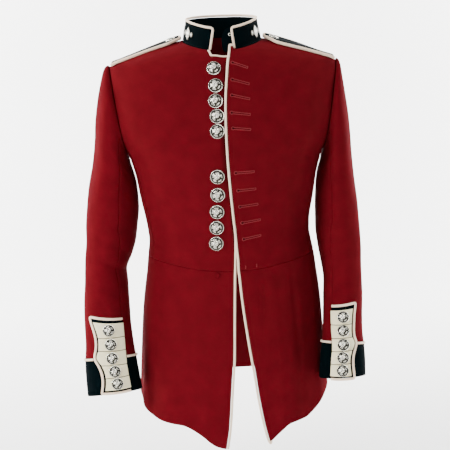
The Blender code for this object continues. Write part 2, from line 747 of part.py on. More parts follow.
def front_piping(side, material, name):
    """Runs along the open neckline, round the corner and down the front edge to the hem."""
    top = -neck_drop(side, 0.0)
    levels = top + (1 + top / 43) * steps(0, -6, -16)
    levels = np.concatenate([levels, np.linspace(-43, -397, 17), np.linspace(-416, -735, 15)])
    for _ in range(6):
        theta = edge_theta(side, levels)
        levels[-1] = hem_level(theta[-1]) + 1
    along = steps(17.9, 16.7) if side > 0 else steps(-25.0, -23.8, -22.5, -18, -13, -8, 6)
    level = -neck_drop(side, along)
    theta = np.concatenate([theta_of(along, level), theta])
    level = np.concatenate([level, levels])
    if side > 0:
        out = -0.00025 - ease((-level - 400) / 50) * 0.00075
    else:
        out = -0.0021 + ease((-level - 385) / 40) * 0.0011
    edge, ups = front_point(side, theta, level, out), body_normal(theta, level)
    path = beside(edge, ups, side * (PIPING + 0.0005))
    return tube(name, path, ups, material)


# ================================================================ sleeves and cuffs


def sleeve_half(side, which, material, name):
    rows = steps(*range(CUFF_ROW + 1))
    front, behind = front_seam(side, rows), line(BACK_SEAM, rows)
    first, last = (behind - 360, front) if which == "top" else (front, behind)
    count = 10 if which == "top" else 8
    psi = first[:, None] + (last - first)[:, None] * np.linspace(0, 1, count + 1)
    row = np.repeat(rows[:, None], count + 1, 1)
    outer = sleeve(side, psi, row)
    inner = outer - sleeve_normal(side, psi, row) * MELTON
    outer, inner = (open_seam(g, ("first", "last", "bottom")) for g in (outer, inner))
    outer[0], inner[0] = mitre(outer[0], side, 1)
    return wall(name, outer, inner, material)


CUFF_PROUD = 0.0003
SLASH_INNER = 0.00085
LOOP_INNER = SLASH_INNER + FACING + 0.0008
LOOP_CLOTH = 0.0012


def cuff(side, material, name):
    rows = steps(CUFF_ROW + 0.012, CUFF_ROW + 1, LAST_ROW)
    psi = np.repeat(np.linspace(0, 360, 20, endpoint=False)[None], len(rows), 0)
    row = np.repeat(rows[:, None], psi.shape[1], 1)
    normal = sleeve_normal(side, psi, row)
    outer = sleeve(side, psi, row) + normal * CUFF_PROUD
    inner = outer - normal * MELTON
    outer, inner = (open_seam(g, ("top",)) for g in (outer, inner))
    return wall(name, outer, inner, material, closed=True)


def slash_of(side, key):
    return SLASH["left" if side > 0 else "right"][key]


def slash_place(side, share, psi):
    """psi and row on the sleeve of a place on the slash, at a share of its height."""
    height = slash_of(side, "top") - slash_of(side, "drop") * share
    height = height + line(slash_of(side, "slope"), share) * (psi - 65)
    return psi, sleeve_row(side, psi, height)


def seam_psi(side, share):
    _, row = slash_place(side, share, np.full(np.shape(share), 120.0))
    return front_seam(side, row) - 0.8


def slash(side, material, name):
    shares = np.linspace(0, 1, 13)
    first, last = curve(slash_of(side, "edge"), shares)[0], seam_psi(side, shares)
    psi = first[:, None] + (last - first)[:, None] * np.linspace(0, 1, 9)
    psi, row = slash_place(side, np.repeat(shares[:, None], 9, 1), psi)
    place, normal = sleeve(side, psi, row), sleeve_normal(side, psi, row)
    outer, inner = place + normal * (SLASH_INNER + FACING), place + normal * SLASH_INNER
    return wall(name, outer, inner, material)


def slash_piping(side, material, name):
    """Over the top, down the scalloped edge and under the bottom of the slash."""
    wide, high = 0.0023, 0.0011
    rise = wide + SEAM * 2
    edge = slash_of(side, "edge")
    shares = np.linspace(0, 1, 17)
    seam_top, seam_bottom = seam_psi(side, steps(0, 1))
    outline = [(0.0, p) for p in np.linspace(seam_top - 1.5, edge[0][1] + 3, 6)]
    outline += list(zip(shares, curve(edge, shares)[0]))
    outline += [(1.0, p) for p in np.linspace(edge[-1][1] + 3, seam_bottom - 1.5, 6)]
    share, psi = np.array(outline).T
    psi, row = slash_place(side, share, psi)
    place, normal = sleeve(side, psi, row), sleeve_normal(side, psi, row)
    path = beside(place + normal * (SLASH_INNER + high), normal, -side * rise)
    return tube(name, path, normal, material, wide, high, sides=4)


def loop_rows(side):
    """Shares and heights across the five loops, with a groove between each two."""
    edges = slash_of(side, "loops")
    rows = []
    for top, bottom in zip(edges[:-1], edges[1:]):
        if rows:
            rows.append((top, 0.45))
        rows += [(top + GROOVE, 1.0), ((top + bottom) / 2, 1.0), (bottom - GROOVE, 1.0)]
    return np.array(rows)


def loop_end(side, share):
    """psi of the loops' outer ends, pointed on the middle one."""
    middle = sum(slash_of(side, "loops")[2:4]) / 2
    reach = np.clip(1 - np.abs(share - middle) / 0.095, 0, 1)
    return curve(slash_of(side, "edge"), share)[0] + LOOP_MARGIN - LOOP_POINT * reach


def loops(side, material, name):
    shares, height = loop_rows(side).T
    first, last = loop_end(side, shares), seam_psi(side, shares) - 0.6
    psi = first[:, None] + (last - first)[:, None] * np.linspace(0, 1, 7)
    psi, row = slash_place(side, np.repeat(shares[:, None], 7, 1), psi)
    place, normal = sleeve(side, psi, row), sleeve_normal(side, psi, row)
    out = LOOP_INNER + LOOP_CLOTH * height
    return wall(name, place + normal * out[:, None, None], place + normal * LOOP_INNER, material)


def cuff_piping(side, material, name):
    """Round the cuff's top from the seam, behind, to the slash's outer edge."""
    wide, high = 0.0020, 0.0011
    start = front_seam(side, CUFF_ROW) + 2.2
    share = steps(0.54)
    for _ in range(6):
        end = curve(slash_of(side, "edge"), share)[0] - 9.5
        height = sleeve(side, end, steps(CUFF_ROW))[:, 2] * 1000
        height = height - line(slash_of(side, "slope"), share) * (end - 65)
        share = (slash_of(side, "top") - height) / slash_of(side, "drop")
    psi = np.linspace(start, 360 + float(end[0]), 26)
    row = np.full(len(psi), CUFF_ROW - 0.03)
    place, normal = sleeve(side, psi, row), sleeve_normal(side, psi, row)
    path = place + normal * (CUFF_PROUD + CLEAR + high)
    return tube(name, path, normal, material, wide, high, sides=4)


def cuff_buttons(side, material, name):
    edges = np.array(slash_of(side, "loops"))
    for k, (share, psi) in enumerate(zip((edges[:-1] + edges[1:]) / 2, slash_of(side, "buttons"))):
        psi, row = slash_place(side, steps(share), steps(psi))
        at, normal = sleeve(side, psi, row)[0], sleeve_normal(side, psi, row)[0]
        seat = LOOP_INNER + LOOP_CLOTH + CLEAR * 1.6
        button(f"{name}_{k + 1}", at + normal * seat, normal, CUFF_BUTTON, material)


# ================================================================ collar


def collar(theta, rise, out=0.0):
    """Point of the collar at theta and at a share of its height, out metres over its face."""
    low = body(theta, 0 * theta)
    sine, cosine = np.sin(np.radians(theta)), np.cos(np.radians(theta))
    half, front, behind = (COLLAR_TOP[k] / 1000 for k in ("half", "front", "back"))
    height = curve(COLLAR_HEIGHT, 180 - np.abs(180 - np.abs(theta)))[0] / 1000
    x = half * power(sine, 2 / 2.1)
    y = -np.where(cosine > 0, front, behind) * power(cosine, 2 / 2.1)
    top = np.stack([x, y, low[..., 2] + height], -1)
    place = low + (top - low) * np.asarray(rise)[..., None]
    outward = unit(np.stack([x / half**2, y / np.where(cosine > 0, front, behind) ** 2, 0 * x], -1))
    return place + outward * np.asarray(out)[..., None]


def collar_theta(x, rise):
    half = 73 + (COLLAR_TOP["half"] - 73) * rise
    return np.degrees(np.arcsin(power(x / half, 2.1 / 2)))


def collar_piece(material):
    rises = steps(0, 0.5, 1)
    left = collar_theta(line([(0, COLLAR_ENDS["left"][0]), (1, COLLAR_ENDS["left"][1])], rises), rises)
    right = 360 + collar_theta(line([(0, COLLAR_ENDS["right"][0]), (1, COLLAR_ENDS["right"][1])], rises), rises)
    theta = left[:, None] + (right - left)[:, None] * np.linspace(0, 1, 31)
    theta = np.where(theta > 180, theta - 360, theta)
    rise = np.repeat(rises[:, None], 31, 1)
    shift = np.array([0, 0, SEAM])
    outer = collar(theta, rise, 0 * rise) + shift
    inner = collar(theta, rise, 0 * rise - COLLAR_CLOTH) + shift
    return wall("collar", outer, inner, material)


def collar_piping(material):
    """Up one end of the collar, along its top and down its other end."""
    off = PIPING + 0.0005
    middle = -COLLAR_CLOTH / 2
    pieces, angles = [], []
    for key, inward in (("left", -1), ("right", 1)):
        low, high = COLLAR_ENDS[key]
        rise = steps(0.09, 0.5, 0.95, 1.0)
        theta = collar_theta(low + (high - low) * rise, rise)
        place = collar(theta, rise, np.full(4, middle)) + np.array([inward * off, 0, SEAM])
        place[-1] += np.array([-inward * 0.28, 0, 0.75]) * off
        pieces.append(place)
        angles.append(theta)
    theta = np.linspace(angles[0][-1] + 1.5, 360 + angles[1][-1] - 1.5, 29)
    theta = np.where(theta > 180, theta - 360, theta)
    top = collar(theta, np.ones(29), np.full(29, middle)) + np.array([0, 0, off + SEAM])
    path = np.concatenate([pieces[0], top, pieces[1][::-1]])
    radians = np.radians(np.concatenate([angles[0], theta, angles[1][::-1]]))
    ups = np.stack([np.sin(radians), -np.cos(radians), 0 * radians], -1)
    return tube("collar_piping", path, ups, material)


def collar_tab(material):
    """A tongue behind the wearer's left end of the collar, reaching across the opening."""
    outer, inner = [], []
    for x, bottom, top in TAB_ROWS:
        rise = (np.linspace(bottom, top, 4) - NECK_LINE[0][1]) / COLLAR_HEIGHT[0][1]
        theta = collar_theta(np.full(4, float(x)), rise)
        outer.append(collar(theta, rise, np.full(4, -0.0041)))
        inner.append(collar(theta, rise, np.full(4, -0.0063)))
    return wall("collar_tab", np.array(outer), np.array(inner), material)


def ornament(side, material, name):
    """A plain four-lobed metal motif on the side of the collar."""
    along, half = np.array(ORNAMENT_HALF, float).T
    theta = side * (ORNAMENT_THETA + np.degrees(along / 70.0))
    rise = ORNAMENT_RISE / 36
    rows = np.linspace(-1, 1, 4)
    grid_theta = np.repeat(theta[None], 4, 0)
    grid_rise = rise + rows[:, None] * half[None] / 36
    clear = np.full(grid_rise.shape, 0.0005)
    return wall(
        name,
        collar(grid_theta, grid_rise, clear + 0.0014),
        collar(grid_theta, grid_rise, clear),
        material,
    )


# ================================================================ shoulder straps


def shoulder(x, y):
    """Point of the shoulder over a place in plan: the cut that passes through it, for the
    wearer's left."""
    levels = np.linspace(0, -60, 241)
    half, front, behind, square, tilt = curve(BODY, levels)
    x, y = np.asarray(x, float), np.asarray(y, float)
    depth = np.where(y[..., None] < 0, front, behind)
    inside = (np.abs(x)[..., None] / half) ** square + (np.abs(y)[..., None] / depth) ** square
    first = np.argmax(inside <= 1, -1)
    first = np.clip(first, 1, len(levels) - 1)
    a = np.take_along_axis(inside, (first - 1)[..., None], -1)[..., 0]
    b = np.take_along_axis(inside, first[..., None], -1)[..., 0]
    share = np.clip((a - 1) / (a - b), 0, 1)
    level = levels[first - 1] + (levels[first] - levels[first - 1]) * share
    half, front, behind, square, tilt = curve(BODY, level)
    turned = np.degrees(np.arcsin(np.clip(power(x / half, square / 2), 0, 1)))
    theta = np.where(y < 0, turned, 180 - turned)
    z = level + tilt * curve(NECK_LINE, theta)[0]
    return np.stack([x, y, z], -1) / 1000


def strap_forward(side, x):
    return curve(STRAP_FORWARD["left" if side > 0 else "right"], x)[0]


def strap_over(side, x, y, out=0.0):
    """Point of a strap over a place in plan, out metres over its underside."""
    half, middle = (line([(r[0], r[k]) for r in STRAP_ROWS], x) for k in (1, 2))
    across = (y + strap_forward(side, x)) / half
    place = shoulder(x, y)
    place[..., 2] += (middle + np.where(across < 0, STRAP_FRONT, STRAP_REAR) * across**2) / 1000 + out
    return place * np.array([side, 1, 1])


def strap_grid(side, out):
    rows = np.array(STRAP_ROWS, float)
    x = np.repeat(rows[:, 0][:, None], 7, 1)
    y = rows[:, 1][:, None] * np.linspace(-1, 1, 7) - strap_forward(side, x)
    return strap_over(side, x, y, out)


def strap(side, material, name):
    return wall(name, strap_grid(side, STRAP_CLOTH / 1000), strap_grid(side, 0.0), material)


def strap_piping(side, material, name):
    """Along the front edge, round the pointed end and back along the rear edge."""
    grid = strap_grid(side, STRAP_CLOTH / 1000 * 0.55)
    off = STRAP_PIPING + SEAM * 1.6
    front, behind = grid[:, 0], grid[::-1, -1]
    tip = grid[-1, 1:-1]
    middle = grid.mean((0, 1))
    path = np.concatenate([front, tip[1:-1], behind])
    along = unit(np.gradient(path, axis=0))
    out = np.cross(along, (0, 0, 1))
    out[:, 2] = 0
    out = unit(out)
    out *= np.sign(np.sum(out[2] * (path[2] - middle)))
    path = path + out * off
    ups = np.repeat([[0.0, 0.0, 1.0]], len(path), 0)
    return tube(name, path, ups, material, STRAP_PIPING, STRAP_PIPING * 1.22, sides=6)


# ================================================================ the tunic


def build():
    for old in list(bpy.data.objects):
        bpy.data.objects.remove(old, do_unlink=True)

    scarlet = lambda name: colour(name, SCARLET, 0.9)
    blue = lambda name: colour(name, BLUE, 0.85)
    cream = lambda name: colour(name, CREAM, 0.8)
    silver = lambda name: colour(name, SILVER, 0.22, 1.0)

    for side, word in ((-1, "right"), (1, "left")):
        forepart(side, scarlet(f"forepart_{word}"), f"forepart_{word}")
        side_body(side, scarlet(f"side_body_{word}"), f"side_body_{word}")
        back(side, scarlet(f"back_{word}"), f"back_{word}")
        skirt(side, scarlet(f"skirt_{word}"), f"skirt_{word}")
        front_piping(side, cream(f"front_piping_{word}"), f"front_piping_{word}")
        sleeve_half(side, "top", scarlet(f"topsleeve_{word}"), f"topsleeve_{word}")
        sleeve_half(side, "under", scarlet(f"undersleeve_{word}"), f"undersleeve_{word}")
        cuff(side, blue(f"cuff_{word}"), f"cuff_{word}")
        cuff_piping(side, cream(f"cuff_piping_{word}"), f"cuff_piping_{word}")
        slash(side, blue(f"slash_{word}"), f"slash_{word}")
        slash_piping(side, cream(f"slash_piping_{word}"), f"slash_piping_{word}")
        loops(side, cream(f"cuff_loops_{word}"), f"cuff_loops_{word}")
        cuff_buttons(side, silver(f"cuff_button_{word}"), f"cuff_button_{word}")
        strap(side, blue(f"shoulder_strap_{word}"), f"shoulder_strap_{word}")
        strap_piping(side, cream(f"strap_piping_{word}"), f"strap_piping_{word}")
        x = STRAP_BUTTON_X + steps(-8, 0, 8, 0, 0)
        y = -strap_forward(side, steps(STRAP_BUTTON_X)) + steps(0, 0, 0, -8, 8)
        top = strap_over(side, x, y, STRAP_CLOTH / 1000)
        rise = top[:, 2] * 1000
        facing = unit(np.array([side * (rise[0] - rise[2]) / 16, (rise[3] - rise[4]) / 16, 1.0]))
        seat = top[1] + facing * 0.0007
        button(f"strap_button_{word}", seat, facing, STRAP_BUTTON, silver(f"strap_button_{word}"))
        ornament(side, silver(f"collar_ornament_{word}"), f"collar_ornament_{word}")

    for k, (x, height) in enumerate(FRONT_BUTTONS):
        level = np.array([float(height)])
        theta = theta_of(np.array([x]), level)
        at = front_point(-1, theta, level, CLEAR)[0]
        button(f"front_button_{k + 1}", at, body_normal(theta, level)[0], FRONT_BUTTON, silver(f"front_button_{k + 1}"))
    level = np.array([WAIST_BUTTON_AT[1]])
    theta = theta_of(np.array([WAIST_BUTTON_AT[0]]), level)
    at = front_point(-1, theta, level, CLEAR)[0]
    button("waist_button", at, body_normal(theta, level)[0], WAIST_BUTTON, scarlet("waist_button"))

    collar_piece(blue("collar"))
    collar_piping(cream("collar_piping"))
    collar_tab(blue("collar_tab"))


build()
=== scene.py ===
import bpy
import numpy as np
from mathutils import Matrix, Vector


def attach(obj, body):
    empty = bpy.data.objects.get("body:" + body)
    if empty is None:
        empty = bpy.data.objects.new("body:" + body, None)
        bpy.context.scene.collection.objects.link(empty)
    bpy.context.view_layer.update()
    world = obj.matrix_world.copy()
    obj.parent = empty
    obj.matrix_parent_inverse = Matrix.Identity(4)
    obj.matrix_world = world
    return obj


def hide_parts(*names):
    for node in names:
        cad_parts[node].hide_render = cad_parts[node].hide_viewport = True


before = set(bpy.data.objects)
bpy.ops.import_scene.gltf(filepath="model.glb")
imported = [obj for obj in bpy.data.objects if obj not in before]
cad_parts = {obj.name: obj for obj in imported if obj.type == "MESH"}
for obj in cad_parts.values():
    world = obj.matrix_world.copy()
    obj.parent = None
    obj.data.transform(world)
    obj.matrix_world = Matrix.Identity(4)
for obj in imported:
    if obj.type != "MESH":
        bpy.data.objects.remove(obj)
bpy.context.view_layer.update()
print("frame loaded")

# the camera stands 2 m in front, looks a little down and is rolled a little
cameraValues = {"place": (-0.0055, -2.0, -0.06), "down": 8.195, "roll": -1.9, "lens": 85.08}
cameraData = bpy.data.cameras.new("camera")
cameraData.lens = cameraValues["lens"]
cameraData.sensor_width = 36
cameraObject = bpy.data.objects.new("camera", cameraData)
bpy.context.scene.collection.objects.link(cameraObject)
cameraObject.location = cameraValues["place"]
turned = Matrix.Rotation(np.radians(90 - cameraValues["down"]), 4, "X")
turned = turned @ Matrix.Rotation(np.radians(cameraValues["roll"]), 4, "Z")
cameraObject.rotation_euler = turned.to_euler()
bpy.context.scene.camera = cameraObject
print("camera placed")

# the body is one surface, body(theta, level), sizes in mm: theta turns from the centre front (0)
# to the centre back (180), negative on the wearer's right; level is the height of a cut's sides
bodyValues = {
    # level, half width, depth ahead, depth behind, squareness, share of the neck line's dip
    "cuts": [
        (0, 73, 75, 62, 2.10, 1.00), (-3, 92, 76, 66, 2.05, 0.86), (-8, 114, 78, 71, 2.02, 0.70),
        (-14.5, 137, 80.5, 76, 2.00, 0.50), (-22.5, 160, 83.5, 80, 2.00, 0.30),
        (-31, 182, 87, 84, 2.00, 0.12), (-43, 209, 92, 88, 2.00, 0.00),
        (-52, 214, 96.5, 92, 2.05, 0), (-64, 217, 102, 97, 2.10, 0), (-80, 219, 108, 102, 2.15, 0),
        (-100, 219, 114.5, 107, 2.20, 0), (-125, 216, 121, 111, 2.25, 0),
        (-150, 210.5, 126, 113.5, 2.30, 0), (-172, 202.5, 129, 114.5, 2.30, 0),
        (-187, 194, 130.5, 114.3, 2.30, 0), (-196, 188.3, 131, 114, 2.30, 0),
        (-206, 182.0, 131.5, 113.2, 2.30, 0), (-225, 175.5, 131, 111.5, 2.30, 0),
        (-250, 169, 129, 108, 2.30, 0), (-275, 165, 125.5, 104, 2.28, 0),
        (-300, 160.5, 121.5, 100, 2.26, 0), (-325, 155.5, 118, 96.5, 2.24, 0),
        (-350, 152.4, 115.5, 94, 2.22, 0), (-373, 152.9, 114.5, 93, 2.20, 0),
        (-397, 156.8, 115, 94, 2.20, 0), (-430, 160.9, 117.5, 98, 2.20, 0),
        (-455, 164.6, 120.5, 102, 2.20, 0), (-490, 169, 124, 108, 2.20, 0),
        (-541, 173.3, 129.5, 115, 2.20, 0), (-600, 178, 134, 121, 2.20, 0),
        (-645, 181, 137, 125, 2.20, 0), (-745, 184, 141, 130, 2.20, 0),
    ],
    # level, and how far the cut's middle stands to the wearer's left
    "sway": [(-325, 0), (-350, 0.8), (-373, 2.8), (-397, 3.7), (-430, 4.0), (-455, 3.6), (-490, 2.8),
             (-541, 1.8), (-600, 1.5), (-645, 1.0), (-745, 0)],
    # theta and height of the neck ring, the waist seam and the hem
    "neck": [(0, -22), (20, -20), (45, -13), (70, -5.5), (90, -1), (120, 3), (150, 5.5), (180, 6)],
    "waist": [(0, -416), (10, -415), (20, -412.5), (35, -407), (55, -401), (90, -398), (180, -397)],
    "hemRight": [(0, -741), (5, -740), (9, -736), (18, -715), (27, -701), (37, -697.5), (48, -694),
                 (58, -687), (68, -678), (80, -669), (95, -664), (180, -662)],
    "hemLeft": [(12, -735), (18.5, -731), (24, -717.5), (30, -703.5), (37, -699.5), (46, -697.5),
                (56, -687), (66, -672), (80, -658), (95, -655), (180, -662)],
    # height and x of the two front edges
    "edgeLeft": [(0, 22), (-10, 18.5), (-22, 15.5), (-43, 11.5), (-67, 9), (-109, 5.5), (-160, 4.5),
                 (-209, 5.5), (-271, 9), (-313, 12), (-355, 15.5), (-377, 16.8), (-397, 18.6),
                 (-412, 18.6), (-428, 20.1), (-450, 21.9), (-475, 24.4), (-504, 27.6), (-530, 31),
                 (-555, 34.4), (-581, 38.2), (-612, 42.6), (-645, 46.9), (-685, 53.6), (-710, 58.7),
                 (-735, 65.4)],
    "edgeRight": [(0, 17), (-22, 16.5), (-60, 14), (-110, 11), (-200, 9.5), (-300, 9.8), (-377, 9.3),
                  (-428, 6.9), (-503, 3.9), (-580, 0.9), (-644, -4.7), (-683, -7.8), (-710, -10.9),
                  (-741, -16.3)],
    "neckStep": [(-27.5, 0), (-22.5, 28.0)],  # x, and how much lower the right front is cut there
    "corner": -194.0,  # level at which the side body's seams leave the armhole
    "sideSeam": [(-250, 71), (-397, 67)],
    "sideBackSeam": [(-250, 109), (-397, 115), (-540, 119), (-670, 121)],
    "shoulderTip": (209.0, -43.0),
    "armpit": (182.0, -206.0),
    # upright folds of the skirts: theta, spread, height, level at which they are full
    "folds": [(33, 7, 3.2, -600), (52, 8, -2.6, -620), (78, 9, 0.4, -640), (112, 10, 3.0, -640),
              (146, 9, 3.5, -640), (-40, 9, 2.2, -640), (-66, 9, 2.6, -640), (-78, 12, -4.5, -690),
              (-112, 10, 3.0, -640), (-146, 9, 3.5, -640)],
    # soft creases: theta and level of both ends, width, height (minus is a trough)
    "creases": [
        (46, -44, 29, -104, 8, -1.7), (37, -50, 23, -118, 12, 1.3), (60, -62, 49, -128, 11, -1.0),
        (41, -120, 39, -325, 24, 1.9), (53, -110, 48, -340, 15, -1.8),
        (27, -190, 30, -372, 16, -1.0), (-44, -112, -39, -300, 26, 1.4),
        (-57, -120, -50, -345, 15, -1.5), (-27, -70, -34, -150, 14, -0.8),
        (64, -206, 49, -176, 6, -1.5), (67, -222, 52, -214, 6, -1.2),
        (-64, -207, -50, -181, 6, -1.5), (-68, -226, -53, -216, 6, -1.1),
        (56, -371, 86, -364, 5, -1.1), (48, -388, 76, -391, 5, -0.9),
        (60, -354, 84, -346, 6, 0.9), (-54, -372, -84, -366, 5, -1.1),
        (-50, -387, -79, -390, 5, -0.9), (19, -432, 17, -560, 7, -1.3),
        (25, -436, 27, -700, 8, 1.5), (41, -430, 43, -690, 8, -1.6), (62, -440, 63, -665, 9, 1.1),
        (-24, -470, -23, -690, 12, -1.1), (-52, -450, -55, -680, 9, -1.3),
        (-12, -520, -13, -720, 9, 0.8), (128, -90, 140, -190, 12, -1.7),
        (-127, -96, -139, -200, 12, -1.6), (112, -206, 124, -182, 6, -1.4),
        (-112, -208, -125, -186, 6, -1.4), (104, -372, 132, -366, 6, -1.2),
        (-103, -371, -134, -367, 6, -1.3), (140, -388, 172, -385, 6, -0.9),
        (-142, -386, -170, -389, 6, -1.0), (168, -420, 170, -650, 9, 1.2),
        (-158, -430, -160, -655, 10, -1.4), (158, -300, 165, -372, 11, -1.1),
        (-160, -296, -166, -368, 11, -1.1), (150, -46, 160, -80, 12, 0.9),
    ],
    "lap": 2.7,  # the left front stands this far off the right front
    "neckLap": 3.8,  # at the neck the right front sinks instead
    "neckRise": 6.5,  # the left front's top corner over the neck ring
}
tipLevel, armpitLevel, cornerLevel = (bodyValues["shoulderTip"][1], bodyValues["armpit"][1],
                                      bodyValues["corner"])


def numbers(*values):
    return np.array(values, float)


def sortedRows(table):
    rows = np.asarray(table, float)
    return rows[np.argsort(rows[:, 0])]


def readCurve(table, at):
    # a cubic through the table's rows, whose slope at each row is that of the rows beside it
    rows = sortedRows(table)
    x, y = rows[:, 0], rows[:, 1:]
    at = np.clip(np.asarray(at, float), x[0], x[-1])
    slope = np.gradient(y, x, axis=0)
    i = np.clip(np.searchsorted(x, at, side="right") - 1, 0, len(x) - 2)
    span = (x[i + 1] - x[i])[..., None]
    t = (at - x[i])[..., None] / span
    value = ((2 * t**3 - 3 * t**2 + 1) * y[i] + (t**3 - 2 * t**2 + t) * span * slope[i]
             + (3 * t**2 - 2 * t**3) * y[i + 1] + (t**3 - t**2) * span * slope[i + 1])
    return [value[..., k] for k in range(value.shape[-1])]


def readLine(table, at, column=1):
    # straight lines between the table's rows
    rows = sortedRows(table)
    return np.interp(at, rows[:, 0], rows[:, column])


def ease(t):
    # 0 before 0, 1 after 1, 3t^2 - 2t^3 between
    t = np.clip(t, 0, 1)
    return t * t * (3 - 2 * t)


def bell(distance, width, power=2):
    # exp(-(distance / width)^power)
    return np.exp(-((distance / width) ** power))


def signedPower(value, exponent):
    return np.sign(value) * np.abs(value) ** exponent


def sineCosine(degrees):
    return np.sin(np.radians(degrees)), np.cos(np.radians(degrees))


def unit(vectors):
    return vectors / np.maximum(np.linalg.norm(vectors, axis=-1, keepdims=True), 1e-12)


def ovalPlace(theta, half, front, back, square):
    # x = half * sin^(2/square), y = -depth * cos^(2/square), with a depth of its own ahead and behind
    sine, cosine = sineCosine(theta)
    y = -np.where(cosine > 0, front, back) * signedPower(cosine, 2 / square)
    return half * signedPower(sine, 2 / square), y


def creaseHeight(table, a, b, perA, perB):
    # each crease is a bell across its line, height * exp(-(distance / width)^2), fading at its ends
    total = np.zeros(np.broadcast(a, b).shape)
    for a0, b0, a1, b1, width, height in table:
        run = numbers((a1 - a0) * perA, (b1 - b0) * perB)
        length = np.hypot(*run)
        along = ((a - a0) * perA * run[0] + (b - b0) * perB * run[1]) / length**2
        across = ((a - a0) * perA * run[1] - (b - b0) * perB * run[0]) / length
        fade = ease((along + 0.25) / 0.45) * ease((1.25 - along) / 0.45)
        total += height * bell(across, width) * fade
    return total


def armholeX(level):
    (x0, z0), (x1, z1) = bodyValues["shoulderTip"], bodyValues["armpit"]
    return x0 + (np.asarray(level, float) - z0) * (x1 - x0) / (z1 - z0)


def bodyRelief(theta, level, x):
    # creases in mm, none on the shoulder's top, at the neck or along the armhole
    aside = (armholeX(np.maximum(level, armpitLevel)) - np.abs(x)) / 26 + (level < armpitLevel) * 2
    creases = creaseHeight(bodyValues["creases"], theta, level, 2.8, 1.0)
    return creases * ease((-46 - level) / 30) * ease(aside)


def body(theta, level, relief=True):
    # an oval at each level, z = level plus the neck line's dip, then moved out by the folds and
    # creases, and aside by the sway
    half, front, back, square, tilt = readCurve(bodyValues["cuts"], level)
    x, y = ovalPlace(theta, half, front, back, square)
    z = level + tilt * readCurve(bodyValues["neck"], np.abs(theta))[0]
    fold = sum(height * bell(theta - at, wide) * ease((level + 425) / (full + 425))
               for at, wide, height, full in bodyValues["folds"])
    if relief:
        fold = fold + bodyRelief(theta, level, x)
    grown = 1 + fold / np.hypot(x, y)
    x = x * grown + readCurve(bodyValues["sway"], level)[0]
    return np.stack([x, y * grown, z + 0 * x], -1)


def bodyNormal(theta, level, relief=True):
    # cross product of small steps along theta and along level
    alongTheta = body(theta + 0.5, level, relief) - body(theta - 0.5, level, relief)
    alongLevel = body(theta, level + 0.5, relief) - body(theta, level - 0.5, relief)
    return unit(np.cross(alongTheta, alongLevel))


def thetaAt(x, level):
    half, _, _, square, _ = readCurve(bodyValues["cuts"], level)
    share = (np.asarray(x, float) - readCurve(bodyValues["sway"], level)[0]) / half
    return np.degrees(np.arcsin(np.clip(signedPower(share, square / 2), -1, 1)))


def armholeTheta(level):
    return np.where(np.asarray(level) >= tipLevel, 90.0, thetaAt(armholeX(level), level))


def sideSeamTheta(level, behind=False):
    corner = float(armholeTheta(cornerLevel))
    rows = bodyValues["sideBackSeam" if behind else "sideSeam"]
    return readLine([(cornerLevel, 180 - corner if behind else corner), *rows], level)


def armholeLevel(theta):
    levels = np.linspace(armpitLevel, -172, 120)
    return np.interp(90 - np.abs(90 - np.abs(theta)), armholeTheta(levels)[::-1], levels[::-1])


def frontEdge(side, height):
    return readCurve(bodyValues["edgeLeft" if side > 0 else "edgeRight"], height)[0]


def edgeTheta(side, level):
    height = level + readCurve(bodyValues["cuts"], level)[4] * bodyValues["neck"][0][1]
    return thetaAt(frontEdge(side, height), level)


def waistLevel(theta):
    return readCurve(bodyValues["waist"], np.abs(theta))[0]


def hemLevel(theta):
    right, left = (readCurve(bodyValues[k], np.abs(theta))[0] for k in ("hemRight", "hemLeft"))
    return np.where(np.asarray(theta) < 12, right, left)


def neckDrop(side, x):
    return 0 * np.asarray(x, float) if side > 0 else readLine(bodyValues["neckStep"], x)


def frontLift(side, x, level):
    # the left front stands off along its edge; at the neck the right front sinks instead
    atNeck = ease((level + 62) / 34)
    if side > 0:
        return bodyValues["lap"] * (1 - atNeck) * ease((75 - x) / 62) * ease((level + 470) / 40)
    return -bodyValues["neckLap"] * atNeck * ease((x + 17) / 20)


def frontPoint(side, theta, level, out=0.0):
    # a point of a front or skirt, out mm over its face
    place = body(theta, level)
    x = place[..., 0]
    raised = place + bodyNormal(theta, level) * (frontLift(side, x, level) + out)[..., None]
    if side > 0:
        raised[..., 2] += bodyValues["neckRise"] * ease((24 - x) / 8) * ease((level + 14) / 14)
    return raised


# ways of making a mesh
def putMesh(name, points, quads, uv, triangles=None, extra=None):
    # points in mm, uv in metres of cloth for each point; extra holds attributes of each point
    mesh = bpy.data.meshes.new(name)
    faces = [quads] if triangles is None else [quads, triangles]
    loops = np.concatenate([f.ravel() for f in faces]).astype(np.int32)
    sizes = np.concatenate([np.full(len(f), f.shape[1]) for f in faces])
    mesh.vertices.add(len(points))
    mesh.vertices.foreach_set("co", (points / 1000).astype(np.float32).ravel())
    mesh.loops.add(len(loops))
    mesh.loops.foreach_set("vertex_index", loops)
    mesh.polygons.add(len(sizes))
    mesh.polygons.foreach_set("loop_start", (np.cumsum(sizes) - sizes).astype(np.int32))
    layer = mesh.uv_layers.new(name="cloth")
    layer.data.foreach_set("uv", uv[loops].astype(np.float32).ravel())
    for key, values in (extra or {}).items():
        made = mesh.attributes.new(key, "FLOAT", "POINT")
        made.data.foreach_set("value", values.astype(np.float32))
    mesh.update(calc_edges=True)
    mesh.validate()
    mesh.shade_smooth()
    made = bpy.data.objects.new(name, mesh)
    bpy.context.scene.collection.objects.link(made)
    return made


def gridQuads(index, facing):
    a, b, c, d = index[:-1, :-1], index[:-1, 1:], index[1:, 1:], index[1:, :-1]
    order = (a, b, c, d) if facing > 0 else (a, d, c, b)
    return np.stack([k.ravel() for k in order], -1)


